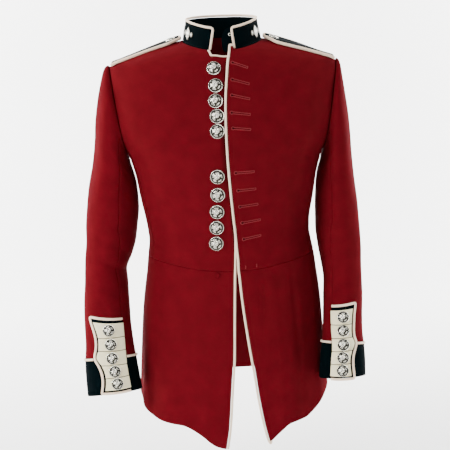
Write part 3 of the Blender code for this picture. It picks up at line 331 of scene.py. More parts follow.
def wrappedIndex(rows, columns):
    # the points' numbers on a grid whose last column is its first once more
    index = np.arange(rows * columns).reshape(rows, columns)
    return np.concatenate([index, index[:, :1]], 1)


def gridNormals(points, facing):
    along, down = np.gradient(points, axis=1), np.gradient(points, axis=0)
    return facing * unit(np.cross(along, down))


def gridRuns(points):
    # distance along each row from the first column, and down each column from the top row
    across = np.pad(np.linalg.norm(np.diff(points, axis=1), axis=-1), ((0, 0), (1, 0)))
    down = np.pad(np.linalg.norm(np.diff(points, axis=0), axis=-1), ((1, 0), (0, 0)))
    return np.cumsum(across, 1), np.cumsum(down, 0)


def clothUv(points):
    # distance along the cloth in metres, across from the row's middle and down from the top row
    u, v = gridRuns(points)
    u = u - u.mean(1, keepdims=True)
    return np.stack([u, v.mean(1, keepdims=True) + 0 * u], -1) / 1000


def shellParts(top, facing, thick, wrap=False, roll=0.55):
    # a wall under a grid of points: its edges roll over by a share of its thickness, and a rim
    # line half way down closes it; wrap joins the last column to the first
    normal = gridNormals(top, facing)
    if wrap:
        padded = np.concatenate([top[:, -3:], top, top[:, :3]], 1)
        normal = gridNormals(padded, facing)[:, 3:-3]
    grid = wrappedIndex(*top.shape[:2])
    index, edge = grid[:, :-1], np.zeros(top.shape[:2], bool)
    edge[[0, -1]] = True
    rims = [grid[0, ::-1], grid[-1]]
    if not wrap:
        grid = index
        edge[:, [0, -1]] = True
        rims = [np.concatenate([index[0, ::-1], index[1:, 0], index[-1, 1:], index[-2::-1, -1]])]
    rolled = normal * (edge * thick * roll * 0.5)[..., None]
    under = top - normal * thick
    points = [(top - rolled).reshape(-1, 3), (under + rolled).reshape(-1, 3)]
    count = index.size
    quads = [gridQuads(grid, facing), gridQuads(grid + count, -facing)]
    source, start = [index.ravel(), index.ravel()], 2 * count  # the grid point of each point
    for rim in rims:
        source.append(rim[:-1])
        points.append(((top + under) / 2).reshape(-1, 3)[rim[:-1]])
        place = start + np.append(np.arange(len(rim) - 1), 0)
        start += len(rim) - 1
        for band in ((rim[:-1], rim[1:], place[1:], place[:-1]),
                     (place[:-1], place[1:], rim[1:] + count, rim[:-1] + count)):
            quads.append(np.stack(band if facing > 0 else band[::-1], -1))
    source = np.concatenate(source)
    return np.concatenate(points), np.concatenate(quads), clothUv(top).reshape(-1, 2)[source], source


def shell(name, top, facing, thick, wrap=False, extra=None):
    points, quads, uv, source = shellParts(top, facing, thick, wrap)
    extra = {key: values.ravel()[source] for key, values in (extra or {}).items()}
    return putMesh(name, points, quads, uv, extra=extra)


def joinParts(parts):
    # several lists of points, quads and uv as one
    points, quads, uvs = (list(k) for k in zip(*[part[:3] for part in parts]))
    starts = np.cumsum([0] + [len(p) for p in points[:-1]])
    quads = [q + start for q, start in zip(quads, starts)]
    return np.concatenate(points), np.concatenate(quads), np.concatenate(uvs)


def closeRings(rings, first, last, facing):
    # rings of points made one closed form, whose ends come together in the points first and last
    rows, count = rings.shape[:2]
    wrapped = wrappedIndex(rows, count)
    a, b = (wrapped[:, :-1], wrapped[:, 1:])[::facing]
    caps = [np.stack([b[0], a[0], np.full(count, rows * count)], -1),
            np.stack([a[-1], b[-1], np.full(count, rows * count + 1)], -1)]
    points = np.concatenate([rings.reshape(-1, 3), [first, last]])
    return points, gridQuads(wrapped, facing), np.concatenate(caps)


def pathRun(path):
    # distance along a path of points
    return np.cumsum(np.append(0, np.linalg.norm(np.diff(path, axis=0), axis=-1)))


def pathAt(at, run, values):
    return np.stack([np.interp(at, run, values[:, k]) for k in range(3)], -1)


def besidePath(path, ups, away):
    # the path moved to its right, whole round its corners
    steps = unit(np.diff(path, axis=0))
    before, after = np.concatenate([steps[:1], steps]), np.concatenate([steps, steps[-1:]])
    out = unit(np.cross(unit(before + after), ups))
    widen = 1 / np.sqrt(np.clip((1 + np.sum(before * after, -1)) / 2, 0.4, 1))
    return path + out * away * widen[:, None]


def alongPath(path, ups, spacing):
    # the same path with a point every spacing mm, corners rounded a little
    run = pathRun(path)
    at = np.linspace(0, run[-1], max(8, int(run[-1] / spacing)))
    fine = pathAt(at, run, path)
    for _ in range(3):
        fine[1:-1] = (fine[:-2] + 2 * fine[1:-1] + fine[2:]) / 4
    return fine, unit(pathAt(at, run, ups))


def tubeParts(path, ups, wide, high, sides, square=2.0):
    # an oval carried along the path: wide across, high along ups, its ends drawn in and closed
    steps = unit(np.diff(path, axis=0))
    along = unit(np.concatenate([steps[:1], steps]) + np.concatenate([steps, steps[-1:]]))
    across = unit(np.cross(along, ups))
    ups = np.cross(across, along)
    turn = np.arange(sides) * 2 * np.pi / sides
    cosine, sine = signedPower(np.cos(turn), 2 / square), signedPower(np.sin(turn), 2 / square)
    ring = path[:, None] + across[:, None] * (cosine[:, None] * wide)
    ring = ring + ups[:, None] * (sine[:, None] * high)
    ends = (path[0] - along[0] * high * 0.4, path[-1] + along[-1] * high * 0.4)
    first = path[:1] - along[:1] * high * 0.25 + (ring[0] - path[0]) * 0.6
    last = path[-1:] + along[-1:] * high * 0.25 + (ring[-1] - path[-1]) * 0.6
    ring = np.concatenate([first[None], ring, last[None]])
    wrapped = wrappedIndex(len(ring), sides)
    half = np.arange(0, sides, 2)
    near, far = (np.full(len(half), len(ring) * sides + k) for k in (0, 1))
    caps = [np.stack([near, *(wrapped[0][half + k] for k in (0, 1, 2))], -1),
            np.stack([far, *(wrapped[-1][half + k] for k in (2, 1, 0))], -1)]
    run = pathRun(path)
    v = np.concatenate([[0], run, run[-1:]])
    uv = np.stack(np.broadcast_arrays(turn[None] * (wide + high) / 2, v[:, None]), -1)
    uv = np.concatenate([uv.reshape(-1, 2), [[0, 0], [0, run[-1]]]]) / 1000
    points = np.concatenate([ring.reshape(-1, 3), ends])
    return points, np.concatenate([gridQuads(wrapped, -1), *caps]), uv


def makeTube(name, path, ups, wide, high, spacing=1.8, sides=14, square=2.0):
    return putMesh(name, *tubeParts(*alongPath(path, ups, spacing), wide, high, sides, square))


def keep(piece, material, node=None):
    # the piece gets its material and rides on the root; the part it stands for, if named, is hidden
    piece.data.materials.append(material)
    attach(piece, "root")
    if node:
        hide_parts(node)


def edgeShares(count, length):
    # shares from 0 to 1 with close lines 0.5 and 1.6 mm from each end
    near, far, inner = 0.5 / length, 1.6 / length, 3.4 / length
    middle = np.linspace(inner, 1 - inner, count)
    return np.concatenate([[0, near, far], middle, [1 - far, 1 - near, 1]])


def pressSeams(top, facing, sewn, depth=0.75, width=1.7):
    # the cloth dips at a sewn edge by depth * exp(-(distance / width)^2)
    across, down = gridRuns(top)
    whole = slice(None)
    edges = {"first": (across, (whole, 0), (whole, 1)),
             "last": (across[:, -1:] - across, (whole, -1), (whole, -2)),
             "top": (down, (0,), (1,)), "bottom": (down[-1:] - down, (-1,), (-2,))}
    press = sum(depth * bell(edges[key][0], width) for key in sewn)
    top = top - gridNormals(top, facing) * press[..., None]
    for key in sewn:
        _, edge, beside = edges[key]
        top[edge] += unit(top[beside] - top[edge]) * 0.01
    return top


def sideWord(side):
    return "left" if side > 0 else "right"

# the cloth's materials
clothValues = {
    "scarlet": (0.121, 0.0048, 0.0090),
    "scarletDeep": (0.062, 0.0018, 0.0038),
    "blue": (0.0003, 0.0034, 0.0044),
    "blueDeep": (0.0001, 0.0012, 0.0018),
    "cream": (0.98, 0.77, 0.59),
    "creamDeep": (0.86, 0.65, 0.49),
    "white": (0.97, 0.89, 0.60),
    "whiteDeep": (0.78, 0.70, 0.46),
    "silver": (0.82, 0.80, 0.70),
    "silverDeep": (0.020, 0.018, 0.012),
    "redThread": (0.20, 0.010, 0.016),
    "redThreadDeep": (0.10, 0.004, 0.007),
    "blueThread": (0.006, 0.014, 0.021),
    "blueThreadDeep": (0.001, 0.003, 0.005),
    "shadow": (0.02, 0.001, 0.002),
    "shadowDeep": (0.006, 0.0006, 0.001),
    "napScale": 2300.0,
}


def setSockets(tree, sockets, values):
    # each socket gets a number or colour, or is linked to another node's output
    for key, value in values.items():
        if isinstance(value, bpy.types.NodeSocket):
            tree.links.new(value, sockets[key])
        else:
            sockets[key].default_value = value


def addNode(tree, kind, values=None, **settings):
    node = tree.nodes.new(f"ShaderNode{kind}")
    for key, value in settings.items():
        setattr(node, key, value)
    setSockets(tree, node.inputs, values or {})
    return node.outputs


def mathNode(tree, operation, *values):
    return addNode(tree, "Math", dict(enumerate(values)), operation=operation)[0]


def mixNode(tree, a, shareA, b):
    # a * shareA + b * (1 - shareA)
    parts = (mathNode(tree, "MULTIPLY", a, shareA), mathNode(tree, "MULTIPLY", b, 1 - shareA))
    return mathNode(tree, "ADD", *parts)


def noiseNode(tree, vector, scale, detail, roughness=0.55):
    values = {"Vector": vector, "Scale": scale, "Detail": detail, "Roughness": roughness}
    return addNode(tree, "TexNoise", values)["Fac"]


def rampNode(tree, mask, first, last, start=0.0, end=1.0):
    # the mask runs from the first colour at start to the last at end
    ramp = tree.nodes.new("ShaderNodeValToRGB")
    for element, colour, position in zip(ramp.color_ramp.elements, (first, last), (start, end)):
        element.position, element.color = position, (*colour, 1)
    tree.links.new(mask, ramp.inputs["Fac"])
    return ramp.outputs["Color"]


def newGroup(name, setting, value):
    # each group takes a vector and a setting of its own, and gives a shade and a height
    group = bpy.data.node_groups.new(name, "ShaderNodeTree")
    for label, way, kind in (("Vector", "INPUT", "Vector"), (setting, "INPUT", "Float"),
                             ("Shade", "OUTPUT", "Float"), ("Height", "OUTPUT", "Float")):
        socket = group.interface.new_socket(name=label, in_out=way, socket_type=f"NodeSocket{kind}")
        if label == setting:
            socket.default_value = value
    inlet, outlet = group.nodes.new("NodeGroupInput"), group.nodes.new("NodeGroupOutput")
    return group, inlet.outputs["Vector"], inlet.outputs[setting], outlet.inputs


def makeNapGroup():
    # fibres lie down the cloth: fine noise stretched along v, clumps four times as large, and mottle
    group, vector, scale, outlet = newGroup("napOfCloth", "Scale", 2300.0)
    stretched = addNode(group, "VectorMath", {0: vector, 1: (1.0, 0.42, 1.0)}, operation="MULTIPLY")[0]
    fibres = noiseNode(group, stretched, scale, 3.0, 0.62)
    clumps = noiseNode(group, vector, mathNode(group, "MULTIPLY", scale, 0.22), 2.0)
    height = mixNode(group, fibres, 0.65, clumps)
    shade = mixNode(group, height, 0.6, noiseNode(group, vector, 34.0, 3.0))
    setSockets(group, outlet, {"Shade": shade, "Height": height})
    return group


def makeWeaveGroup():
    # fine ribs across the tape: |sin| of v and a weaker |sin| of u make the crossing threads
    group, vector, threads, outlet = newGroup("weaveOfTape", "Threads", 1600.0)
    split, waves = addNode(group, "SeparateXYZ", {0: vector}), []
    for axis in ("Y", "X"):
        turn = mathNode(group, "MULTIPLY", mathNode(group, "MULTIPLY", split[axis], threads), 3.14159)
        waves.append(mathNode(group, "ABSOLUTE", mathNode(group, "SINE", turn)))
    height = mixNode(group, waves[0], 0.6, waves[1])
    shade = mixNode(group, height, 0.45, noiseNode(group, vector, 130.0, 3.0))
    setSockets(group, outlet, {"Shade": shade, "Height": height})
    return group


napGroup = makeNapGroup()
weaveGroup = makeWeaveGroup()


def newMaterial(name, shown):
    made = bpy.data.materials.new(name)
    made.use_nodes = True
    made.diffuse_color = (*shown, 1)
    return made, made.node_tree, made.node_tree.nodes["Principled BSDF"].inputs


def roughnessAndBump(tree, mask, rough, height, strength, distance):
    # the mask runs the roughness between two values, and the height is a bump
    rough = addNode(tree, "MapRange", {"Value": mask, "To Min": rough[0], "To Max": rough[1]})["Result"]
    bump = addNode(tree, "Bump", {"Height": height, "Strength": strength, "Distance": distance})
    return {"Roughness": rough, "Normal": bump["Normal"]}


def clothMaterial(name, group, setting, colour, rough, bump, sheen, gloss, tint):
    # the group's shade runs from the deep to the pale colour, and its height is the bump; the colour is
    # scaled by 1 minus the piece's own attribute, painted shade on cloth that lies in a crevice
    deep, pale = clothValues[f"{colour}Deep"], clothValues[colour]
    made, tree, shader = newMaterial(name, pale)
    place = addNode(tree, "TexCoord")["UV"]
    effect = addNode(tree, "Group", {"Vector": place, 1: setting}, node_tree=group)
    shade = rampNode(tree, effect["Shade"], deep, pale, 0.26, 0.72)
    unshadedShare = mathNode(tree, "SUBTRACT", 1.0, addNode(tree, "Attribute", attribute_name="paintedShade")["Fac"])
    shade = addNode(tree, "VectorMath", {0: shade, "Scale": unshadedShare}, operation="SCALE")[0]
    setSockets(tree, shader, roughnessAndBump(tree, effect["Shade"], (rough - 0.06, rough + 0.06),
                                              effect["Height"], 0.55, bump))
    setSockets(tree, shader, {"Base Color": shade, "Sheen Weight": sheen, "Sheen Roughness": 0.5,
                              "Sheen Tint": (*tint, 1), "Specular IOR Level": gloss})
    return made


def metalMaterial(name, rough):
    # low values of the piece's own attribute darken the metal: tarnish in recesses, and on the buttons
    # painted shade and painted dark reflections too; fine noise roughens the plate
    made, tree, shader = newMaterial(name, clothValues["silver"])
    place = addNode(tree, "TexCoord")["Object"]
    depth = addNode(tree, "Attribute", attribute_name="raised")["Fac"]
    cloud = mathNode(tree, "SUBTRACT", noiseNode(tree, place, 260.0, 4.0), 0.5)
    mask = mathNode(tree, "ADD", depth, mathNode(tree, "MULTIPLY", cloud, 0.3))
    colour = rampNode(tree, mask, clothValues["silverDeep"], clothValues["silver"], 0.3, 0.72)
    scratch = noiseNode(tree, place, 2600.0, 2.0)
    setSockets(tree, shader, {"Base Color": colour, "Metallic": 1.0})
    setSockets(tree, shader, roughnessAndBump(tree, mask, (rough + 0.22, rough), scratch, 0.12, 0.0001))
    return made


# roughness, bump in metres, sheen, gloss and the sheen's tint come last
scarletMelton = clothMaterial("scarletMelton", napGroup, clothValues["napScale"], "scarlet",
                              0.9, 0.00022, 0.04, 0.015, (1.0, 0.03, 0.05))
blueFacing = clothMaterial("blueFacing", napGroup, 3000.0, "blue",
                           0.9, 0.00012, 0.002, 0.02, (0.2, 0.5, 0.7))
creamCord = clothMaterial("creamCord", napGroup, 3400.0, "cream",
                          0.8, 0.00014, 0.22, 0.2, (1.0, 0.88, 0.74))
creamTape = clothMaterial("creamTape", weaveGroup, 1500.0, "white",
                          0.82, 0.00014, 0.08, 0.2, (1.0, 0.95, 0.85))
scarletThread = clothMaterial("scarletThread", weaveGroup, 1800.0, "redThread",
                              0.6, 0.0002, 0.05, 0.25, (1.0, 0.3, 0.3))
blueThread = clothMaterial("blueThread", weaveGroup, 1800.0, "blueThread",
                           0.6, 0.0002, 0.02, 0.1, (0.5, 0.6, 0.7))
shadowCloth = clothMaterial("shadowCloth", napGroup, 3000.0, "shadow",
                            0.95, 0.0001, 0.0, 0.02, (1.0, 1.0, 1.0))
silverPlate = metalMaterial("silverPlate", 0.09)
whiteMetal = metalMaterial("whiteMetal", 0.3)
print("materials made")

# panels of the body
panelValues = {
    "thick": 1.9,
    "spacing": 3.1,
    "backMeets": 180.15,  # the two backs meet within the seam
    "toWaist": 207.0,  # rough lengths, which only start the working out of the levels
    "toHem": 267.0,
}


def foreColumns(side):
    # shares from the front edge to the armhole; on the right the neck's columns are kept
    if side > 0:
        return edgeShares(56, 200.0)
    corner = edgeTheta(side, 0.0)
    columns = (17.0, 6.0, -8.0, -18.0, -22.5, -27.5, -36.0, -46.0, -56.0, -65.0, -70.5, -73.0)
    share = (corner - thetaAt(columns, 0.0)) / (corner + 90)
    share[0] = 0.0
    between = zip(share[:-1], share[1:], (3, 4, 4, 3, 3, 4, 5, 5, 6, 6, 9))
    parts = [np.linspace(a, b, count, endpoint=False) for a, b, count in between]
    return np.sort(np.concatenate([*parts, share[-1:], [0.0022, 0.0075, 0.9925, 0.9978]]))


def levelRows(count):
    return np.concatenate([[0, -0.6, -1.8], np.linspace(-4, cornerLevel, count)])


def seamTheta(side, seam, level, start, atArmhole):
    # theta, counted on the wearer's left, of the edge or seam at which a panel's row ends
    if seam == "edge":
        return side * edgeTheta(side, level)
    if seam == "centre":
        return panelValues["backMeets"]
    if not atArmhole:
        return sideSeamTheta(level, seam == "sideBack")
    return 180 - armholeTheta(start) if seam == "sideBack" else armholeTheta(start)


def layPanel(side, seams, rows, share):
    # theta runs in shares between a row's two seams; the level is start, or the armhole's edge, then
    # a share of the way to the waist and a share of the way on to the hem. As the seams hang on the
    # level, the two are worked out by turns
    grid = []
    for start, toWaist, toHem in rows:
        level = start - toWaist * panelValues["toWaist"] - toHem * panelValues["toHem"] + 0 * share
        for _ in range(10):
            first, last = (seamTheta(side, seam, level[end], start, toWaist == 0)
                           for seam, end in zip(seams, (0, -1)))
            theta = side * (first + (last - first) * share)
            top, waist = start + 0 * theta, waistLevel(theta)
            if seams == ("side", "sideBack"):
                top[1:-1] = armholeLevel(theta)[1:-1]
            level = top + (waist - top) * toWaist + (hemLevel(theta) - waist) * toHem
        grid.append((theta, level))
    return np.moveaxis(np.array(grid), 1, 0)


def makeForepart(side):
    # rows run level down to the armhole's corner, then in equal shares from it to the waist seam
    rows = [(v, 0, 0) for v in levelRows(62)]
    rows += [(cornerLevel, p, 0) for p in edgeShares(64, 208.0)[1:]]
    theta, level = layPanel(side, ("edge", "side"), rows, foreColumns(side))
    x = body(theta, level, relief=False)[..., 0]
    drop = np.where(level > tipLevel, neckDrop(side, x[:1]), 0.0)
    cut = level * (1 + drop / tipLevel) - drop
    theta, level = np.where(drop > 0, thetaAt(x, cut), theta), cut
    if side < 0:
        theta[:, 0] = edgeTheta(side, level[:, 0])
    return pressSeams(frontPoint(side, theta, level), -side, ("last", "bottom"))


def makeSideBody(side):
    # columns from the side seam to the side-back seam, rows from the armhole to the waist
    rows = [(cornerLevel, p, 0) for p in edgeShares(64, 204.0)]
    theta, level = layPanel(side, ("side", "sideBack"), rows, edgeShares(17, 60.0))
    return pressSeams(body(theta, level), -side, ("first", "last", "top", "bottom"))


def makeBack(side):
    # one piece from neck to hem: level rows, then shares to the waist, then shares to the hem
    rows = [(v, 0, 0) for v in levelRows(58)]
    rows += [(cornerLevel, p, 0) for p in np.linspace(0, 1, 58)[1:]]
    rows += [(cornerLevel, 1, p) for p in edgeShares(76, 265.0)[3:]]
    theta, level = layPanel(side, ("sideBack", "centre"), rows, edgeShares(52, 190.0))
    return pressSeams(body(theta, level), -side, ("first", "last"))


def makeSkirt(side):
    # shares from the waist seam to the hem, from the front edge round to the side-back seam
    rows = [(cornerLevel, 1, p) for p in edgeShares(90, 290.0)]
    theta, level = layPanel(side, ("edge", "sideBack"), rows, edgeShares(84, 300.0))
    return pressSeams(frontPoint(side, theta, level), -side, ("top", "last"))


def keepMelton(node, top, facing, extra=None):
    piece = shell(f"cloth_{node}", top, facing, panelValues["thick"], extra=extra)
    keep(piece, scarletMelton, node)


makers = {"forepart": makeForepart, "side_body": makeSideBody, "back": makeBack, "skirt": makeSkirt}
for side in (-1, 1):
    for part, maker in makers.items():
        top, extra = maker(side), None
        if part == "forepart" and side < 0:
            # painted shade on the right front, darkest under the left front's edge, 0.86 *
            # exp(-(distance / 2.6)^2) beside its piping, where the crevice lies in shadow
            beyond = frontEdge(1, top[..., 2]) - 4.6 - top[..., 0]
            extra = {"paintedShade": 0.86 * bell(np.maximum(beyond, 0), 2.6) * ease((-34 - top[..., 2]) / 14)}
        keepMelton(f"{part}_{sideWord(side)}", top, -side, extra)
print("body panels made")

sleeveValues = {
    # outer point (x, z), inner point (x, z), middle ahead of the side line, half depth
    "right": [
        (209, -43, 182, -206, 0, 62), (214.5, -41.3, 183.3, -209, 0, 64), (221, -49, 183, -213, 0, 66),
        (228.5, -75, 181.5, -219, 0.5, 67.5), (235, -104, 179.5, -227, 1.5, 68),
        (241, -141, 176.5, -237, 2.5, 68), (244.5, -180, 173, -249, 4, 67.5),
        (250.5, -222, 170, -264, 5, 67), (260, -266, 168, -285, 4, 66),
        (265.5, -307, 167.5, -312, 2, 65), (268, -339, 171, -340, -1, 64),
        (268.5, -368, 175, -368, -4, 62), (271.5, -398, 184, -397, -10, 59.5),
        (272.5, -421, 193.5, -419, -16, 57.5), (273, -445, 192, -443, -24, 55.5),
        (275, -482, 190, -480, -36, 53), (274.5, -520, 188, -517, -48, 50),
        (273, -556, 184, -550, -59, 47), (274, -584, 179.5, -577, -68, 44.5),
        (273, -612, 174.5, -606, -77, 43), (270.3, -647, 169, -636, -87, 42),
    ],
    "left": [
        (209, -43, 182, -206, 0, 62), (213, -41.3, 183.3, -209, 0, 64.5),
        (217.5, -50, 183, -213, 0, 67),
        (221.5, -75, 181.5, -219, 0.5, 69), (226, -105, 179.5, -227, 1.5, 70.5),
        (231, -140, 176.5, -237, 2.5, 71), (234.5, -177, 173, -249, 4, 71),
        (237, -218, 170, -264, 5, 70.5), (241, -264, 168, -285, 4, 70),
        (246, -307, 166.5, -312, 2, 69), (247.5, -336, 166, -337, -1, 68),
        (249, -362, 166, -362, -4, 66), (250, -394, 169.3, -393, -10, 63),
        (249, -422, 173.7, -420, -17, 60.5), (248.5, -447, 176.9, -447, -26, 58.5),
        (248, -480, 175, -479, -38, 56), (245.5, -514, 173, -511, -50, 54),
        (244, -544, 170.5, -540, -63, 52), (244.5, -566, 167.5, -561, -77, 51),
        (245, -592, 163, -587, -87, 50), (244, -621, 159.5, -624, -96, 49),
    ],
    "square": 2.15,
    "headRows": 4.0,  # over these rows the armhole's shape turns into the oval
    "cuffRow": 18,
    "lastRow": 20,
    # row, and how far its cut rises towards the front for each millimetre
    "lean": [(10, 0), (12, 0.03), (14, 0.10), (16, 0.17), (18, 0.20), (20, 0.20)],
    "frontSeam": {  # row, psi
        "right": [(0, 128), (4, 120), (8, 110), (10, 112), (12, 124), (14, 133.5), (15.9, 135.9),
                  (17, 133.6), (18.5, 130.2), (20, 131.2)],
        "left": [(0, 128), (4, 120), (8, 110), (10, 112), (12, 124), (14, 132), (15.9, 132.4),
                 (17, 129.7), (18.5, 124.9), (20, 126.5)],
    },
    "backSeam": [(0, 236), (8, 244), (14, 256), (20, 262)],
    # psi and height of both ends, width, height of each crease
    "creases": {
        "right": [
            (100, -372, 172, -398, 7, -2.2), (92, -402, 168, -420, 6, -1.8),
            (106, -342, 176, -356, 8, -1.6), (84, -388, 150, -409, 6, 1.3),
            (70, -120, 62, -330, 14, 1.2), (38, -110, 30, -300, 13, -1.2),
            (20, -330, 34, -452, 13, 1.1), (62, -300, 76, -392, 12, -1.1),
            (150, -236, 120, -206, 8, -1.5), (158, -262, 128, -236, 8, -1.2),
            (206, -236, 236, -210, 9, -1.4), (250, -150, 262, -330, 16, -1.2),
            (214, -372, 262, -396, 8, -1.1), (206, -398, 256, -418, 7, -1.0),
            (300, -170, 312, -380, 16, 1.0), (330, -360, 318, -450, 13, -0.9),
            (60, -80, 96, -128, 13, -0.7),
        ],
        "left": [
            (98, -358, 174, -388, 7, -2.1), (90, -392, 166, -412, 6, -1.7),
            (108, -330, 172, -342, 8, -1.5), (86, -374, 152, -399, 6, 1.2),
            (66, -116, 58, -318, 14, 1.3), (34, -120, 26, -296, 12, -1.1),
            (24, -338, 36, -448, 12, 1.0), (58, -310, 70, -398, 12, -1.0),
            (152, -238, 122, -208, 8, -1.4), (160, -264, 132, -240, 8, -1.1),
            (204, -238, 238, -212, 9, -1.3), (246, -156, 258, -322, 16, -1.1),
            (210, -366, 258, -388, 8, -1.1), (204, -392, 252, -410, 7, -0.9),
            (302, -164, 314, -372, 16, 1.0), (328, -352, 320, -444, 13, -0.9),
            (62, -86, 98, -132, 13, -0.7),
        ],
    },
}


def armholeDepth(psi):
    # y of the armhole's edge: it is cut from the body by a leaning plane, psi turning round it
    sine, cosine = sineCosine(psi)
    level = armpitLevel + (tipLevel - armpitLevel) * (1 + cosine) / 2
    theta = armholeTheta(level)
    y = body(np.where(sine >= 0, theta, 180 - theta), level, relief=False)[..., 1]
    return np.where(np.abs(sine) < 1e-9, 0, y)


def sleeveForm(side, psi, row):
    # x and z run from the inner to the outer point with cos(psi), y = middle - depth * sin^(2/square),
    # and the lower cuts lean: z rises by lean * (middle - y)
    table = [(i, *values) for i, values in enumerate(sleeveValues[sideWord(side)])]
    outX, outZ, inX, inZ, mid, depth = readCurve(table, row)
    sine, cosine = sineCosine(psi)
    x = (outX + inX) / 2 + cosine * (outX - inX) / 2
    z = (outZ + inZ) / 2 + cosine * (outZ - inZ) / 2
    oval = mid - depth * signedPower(sine, 2 / sleeveValues["square"])
    head = armholeDepth(psi) * (depth / table[0][6])
    share = ease(row / sleeveValues["headRows"])
    y = head * (1 - share) + oval * share
    return np.stack([x * side, y, z + readLine(sleeveValues["lean"], row) * (mid - y)], -1)


def sleeveNormal(side, psi, row):
    # cross product of small steps round the sleeve and down it
    near = np.clip(row, 0.03, sleeveValues["lastRow"] - 0.03)
    along = sleeveForm(side, psi + 0.6, near) - sleeveForm(side, psi - 0.6, near)
    down = sleeveForm(side, psi, near + 0.03) - sleeveForm(side, psi, near - 0.03)
    return side * unit(np.cross(along, down))


def onSleeve(side, psi, row, out):
    # a point of the sleeve's form, out mm over it
    return sleeveForm(side, psi, row) + sleeveNormal(side, psi, row) * np.asarray(out)[..., None]


def sleevePoint(side, psi, row):
    # the sleeve's form moved out by its creases, none near the armhole or the cuff
    z = sleeveForm(side, psi, row)[..., 2]
    relief = creaseHeight(sleeveValues["creases"][sideWord(side)], np.mod(psi, 360), z, 1.12, 1.0)
    return onSleeve(side, psi, row, relief * ease((z + 478) / 40) * ease(row / 3.0 - 0.25))


def rowAt(side, psi, height):
    # row of the sleeve at a height, for its lower part, by halving
    low, high = np.full(np.shape(psi), 10.0), np.full(np.shape(psi), float(sleeveValues["lastRow"]))
    for _ in range(22):
        middle = (low + high) / 2
        over = sleeveForm(side, psi, middle)[..., 2] > height
        low, high = np.where(over, middle, low), np.where(over, high, middle)
    return (low + high) / 2


def frontSeam(side, row):
    return readLine(sleeveValues["frontSeam"][sideWord(side)], row)


def sleeveRows(side, first, last, spacing):
    # rows at equal steps of the mean length of the outer, front and inner lines
    fine = np.linspace(first, last, 400)
    run = sum(pathRun(sleeveForm(side, np.full(400, psi), fine)) for psi in (0.0, 90.0, 180.0)) / 3
    return np.interp(edgeShares(int(run[-1] / spacing), run[-1]) * run[-1], run, fine)


def makeSleeve(side, which):
    # the top sleeve runs over the outer line from the back seam to the front seam, the under sleeve
    # the other way
    rows = sleeveRows(side, 0.0, sleeveValues["cuffRow"], panelValues["spacing"])
    front, behind = frontSeam(side, rows), readLine(sleeveValues["backSeam"], rows)
    first, last = (behind - 360, front) if which == "top" else (front, behind)
    share = edgeShares(76, 245.0) if which == "top" else edgeShares(32, 105.0)
    psi = first[:, None] + (last - first)[:, None] * share
    top = sleevePoint(side, psi, rows[:, None] + 0 * psi)
    return pressSeams(top, side, ("first", "last", "top", "bottom"))


for side in (-1, 1):
    for which in ("top", "under"):
        keepMelton(f"{which}sleeve_{sideWord(side)}", makeSleeve(side, which), side)
print("sleeves made")

cuffValues = {
    "proud": 0.3,
    "thick": 1.9,
    "slashUnder": 0.85,
    "slashCloth": 1.4,
    # top: height of the slash at psi 65. slope: how much higher it lies for each degree past that, by
    # share of the drop. edge: share of the drop, psi. loops: shares at which they begin and end
    "right": {
        "top": -502.1,
        "drop": 128.8,
        "slope": [(0, -0.072), (0.2, 0), (0.6, 0), (0.8, 0.05), (1, 0.06)],
        "edge": [(0, 55.5), (0.119, 62.5), (0.222, 67), (0.33, 68), (0.42, 66.5), (0.542, 63),
                 (0.634, 71), (0.728, 76), (0.829, 77), (0.912, 75.5), (1, 72)],
        "loops": (0.036, 0.259, 0.437, 0.635, 0.816, 0.985),
        "buttons": (97.5, 98.5, 99, 101, 102.5),
    },
    "left": {
        "top": -489.4,
        "drop": 122.2,
        "slope": [(0, -0.091), (0.25, -0.052), (0.45, -0.05), (0.65, -0.065), (0.8, -0.055),
                  (1, -0.025)],
        "edge": [(0, 66.5), (0.145, 70), (0.264, 71), (0.367, 71.5), (0.448, 70), (0.527, 65.5),
                 (0.617, 71), (0.704, 75), (0.801, 75.5), (0.907, 73.5), (1, 71.5)],
        "loops": (0.044, 0.265, 0.450, 0.617, 0.798, 0.985),
        "buttons": (96.3, 96.3, 96.3, 96.3, 96.3),
    },
    "loopMargin": 4.2,
    "loopPoint": 1.3,
    "loopGap": 0.0038,  # half the gap between two loops, as a share of the drop
    "loopCloth": 1.2,
    "slashPiping": (2.3, 1.1),  # half width, half height
    "cuffPiping": (2.0, 1.1),
}
loopUnder = cuffValues["slashUnder"] + cuffValues["slashCloth"] + 0.8


def slashPlace(side, share, psi):
    # height = top - drop * share + slope(share) * (psi - 65)
    values = cuffValues[sideWord(side)]
    share, psi = np.broadcast_arrays(share, psi)
    height = values["top"] - values["drop"] * share + readLine(values["slope"], share) * (psi - 65)
    return psi, rowAt(side, psi, height)


def slashEdge(side, share):
    return readCurve(cuffValues[sideWord(side)]["edge"], share)[0]


def seamPsi(side, share):
    # psi of the slash's end, just short of the sleeve's front seam
    _, row = slashPlace(side, share, 120.0)
    return frontSeam(side, row) - 0.8


def loopEnd(side, share):
    middle = sum(cuffValues[sideWord(side)]["loops"][2:4]) / 2
    reach = np.clip(1 - np.abs(share - middle) / 0.095, 0, 1)
    return slashEdge(side, share) + cuffValues["loopMargin"] - cuffValues["loopPoint"] * reach


def makeCuff(side):
    rows = sleeveRows(side, sleeveValues["cuffRow"] + 0.012, sleeveValues["lastRow"], 3.0)
    psi = np.linspace(0, 360, 108, endpoint=False) + 0 * rows[:, None]
    return onSleeve(side, psi, rows[:, None] + 0 * psi, cuffValues["proud"])


def onSlash(side, shares, first, last, along, out):
    # a grid over the sleeve between two psi for each share of the slash's drop
    psi = first[:, None] + (last - first)[:, None] * along
    return onSleeve(side, *slashPlace(side, shares[:, None], psi), out)


def makeSlash(side):
    shares = edgeShares(52, 128.0)
    return onSlash(side, shares, slashEdge(side, shares), seamPsi(side, shares), edgeShares(22, 64.0),
                   cuffValues["slashUnder"] + cuffValues["slashCloth"])


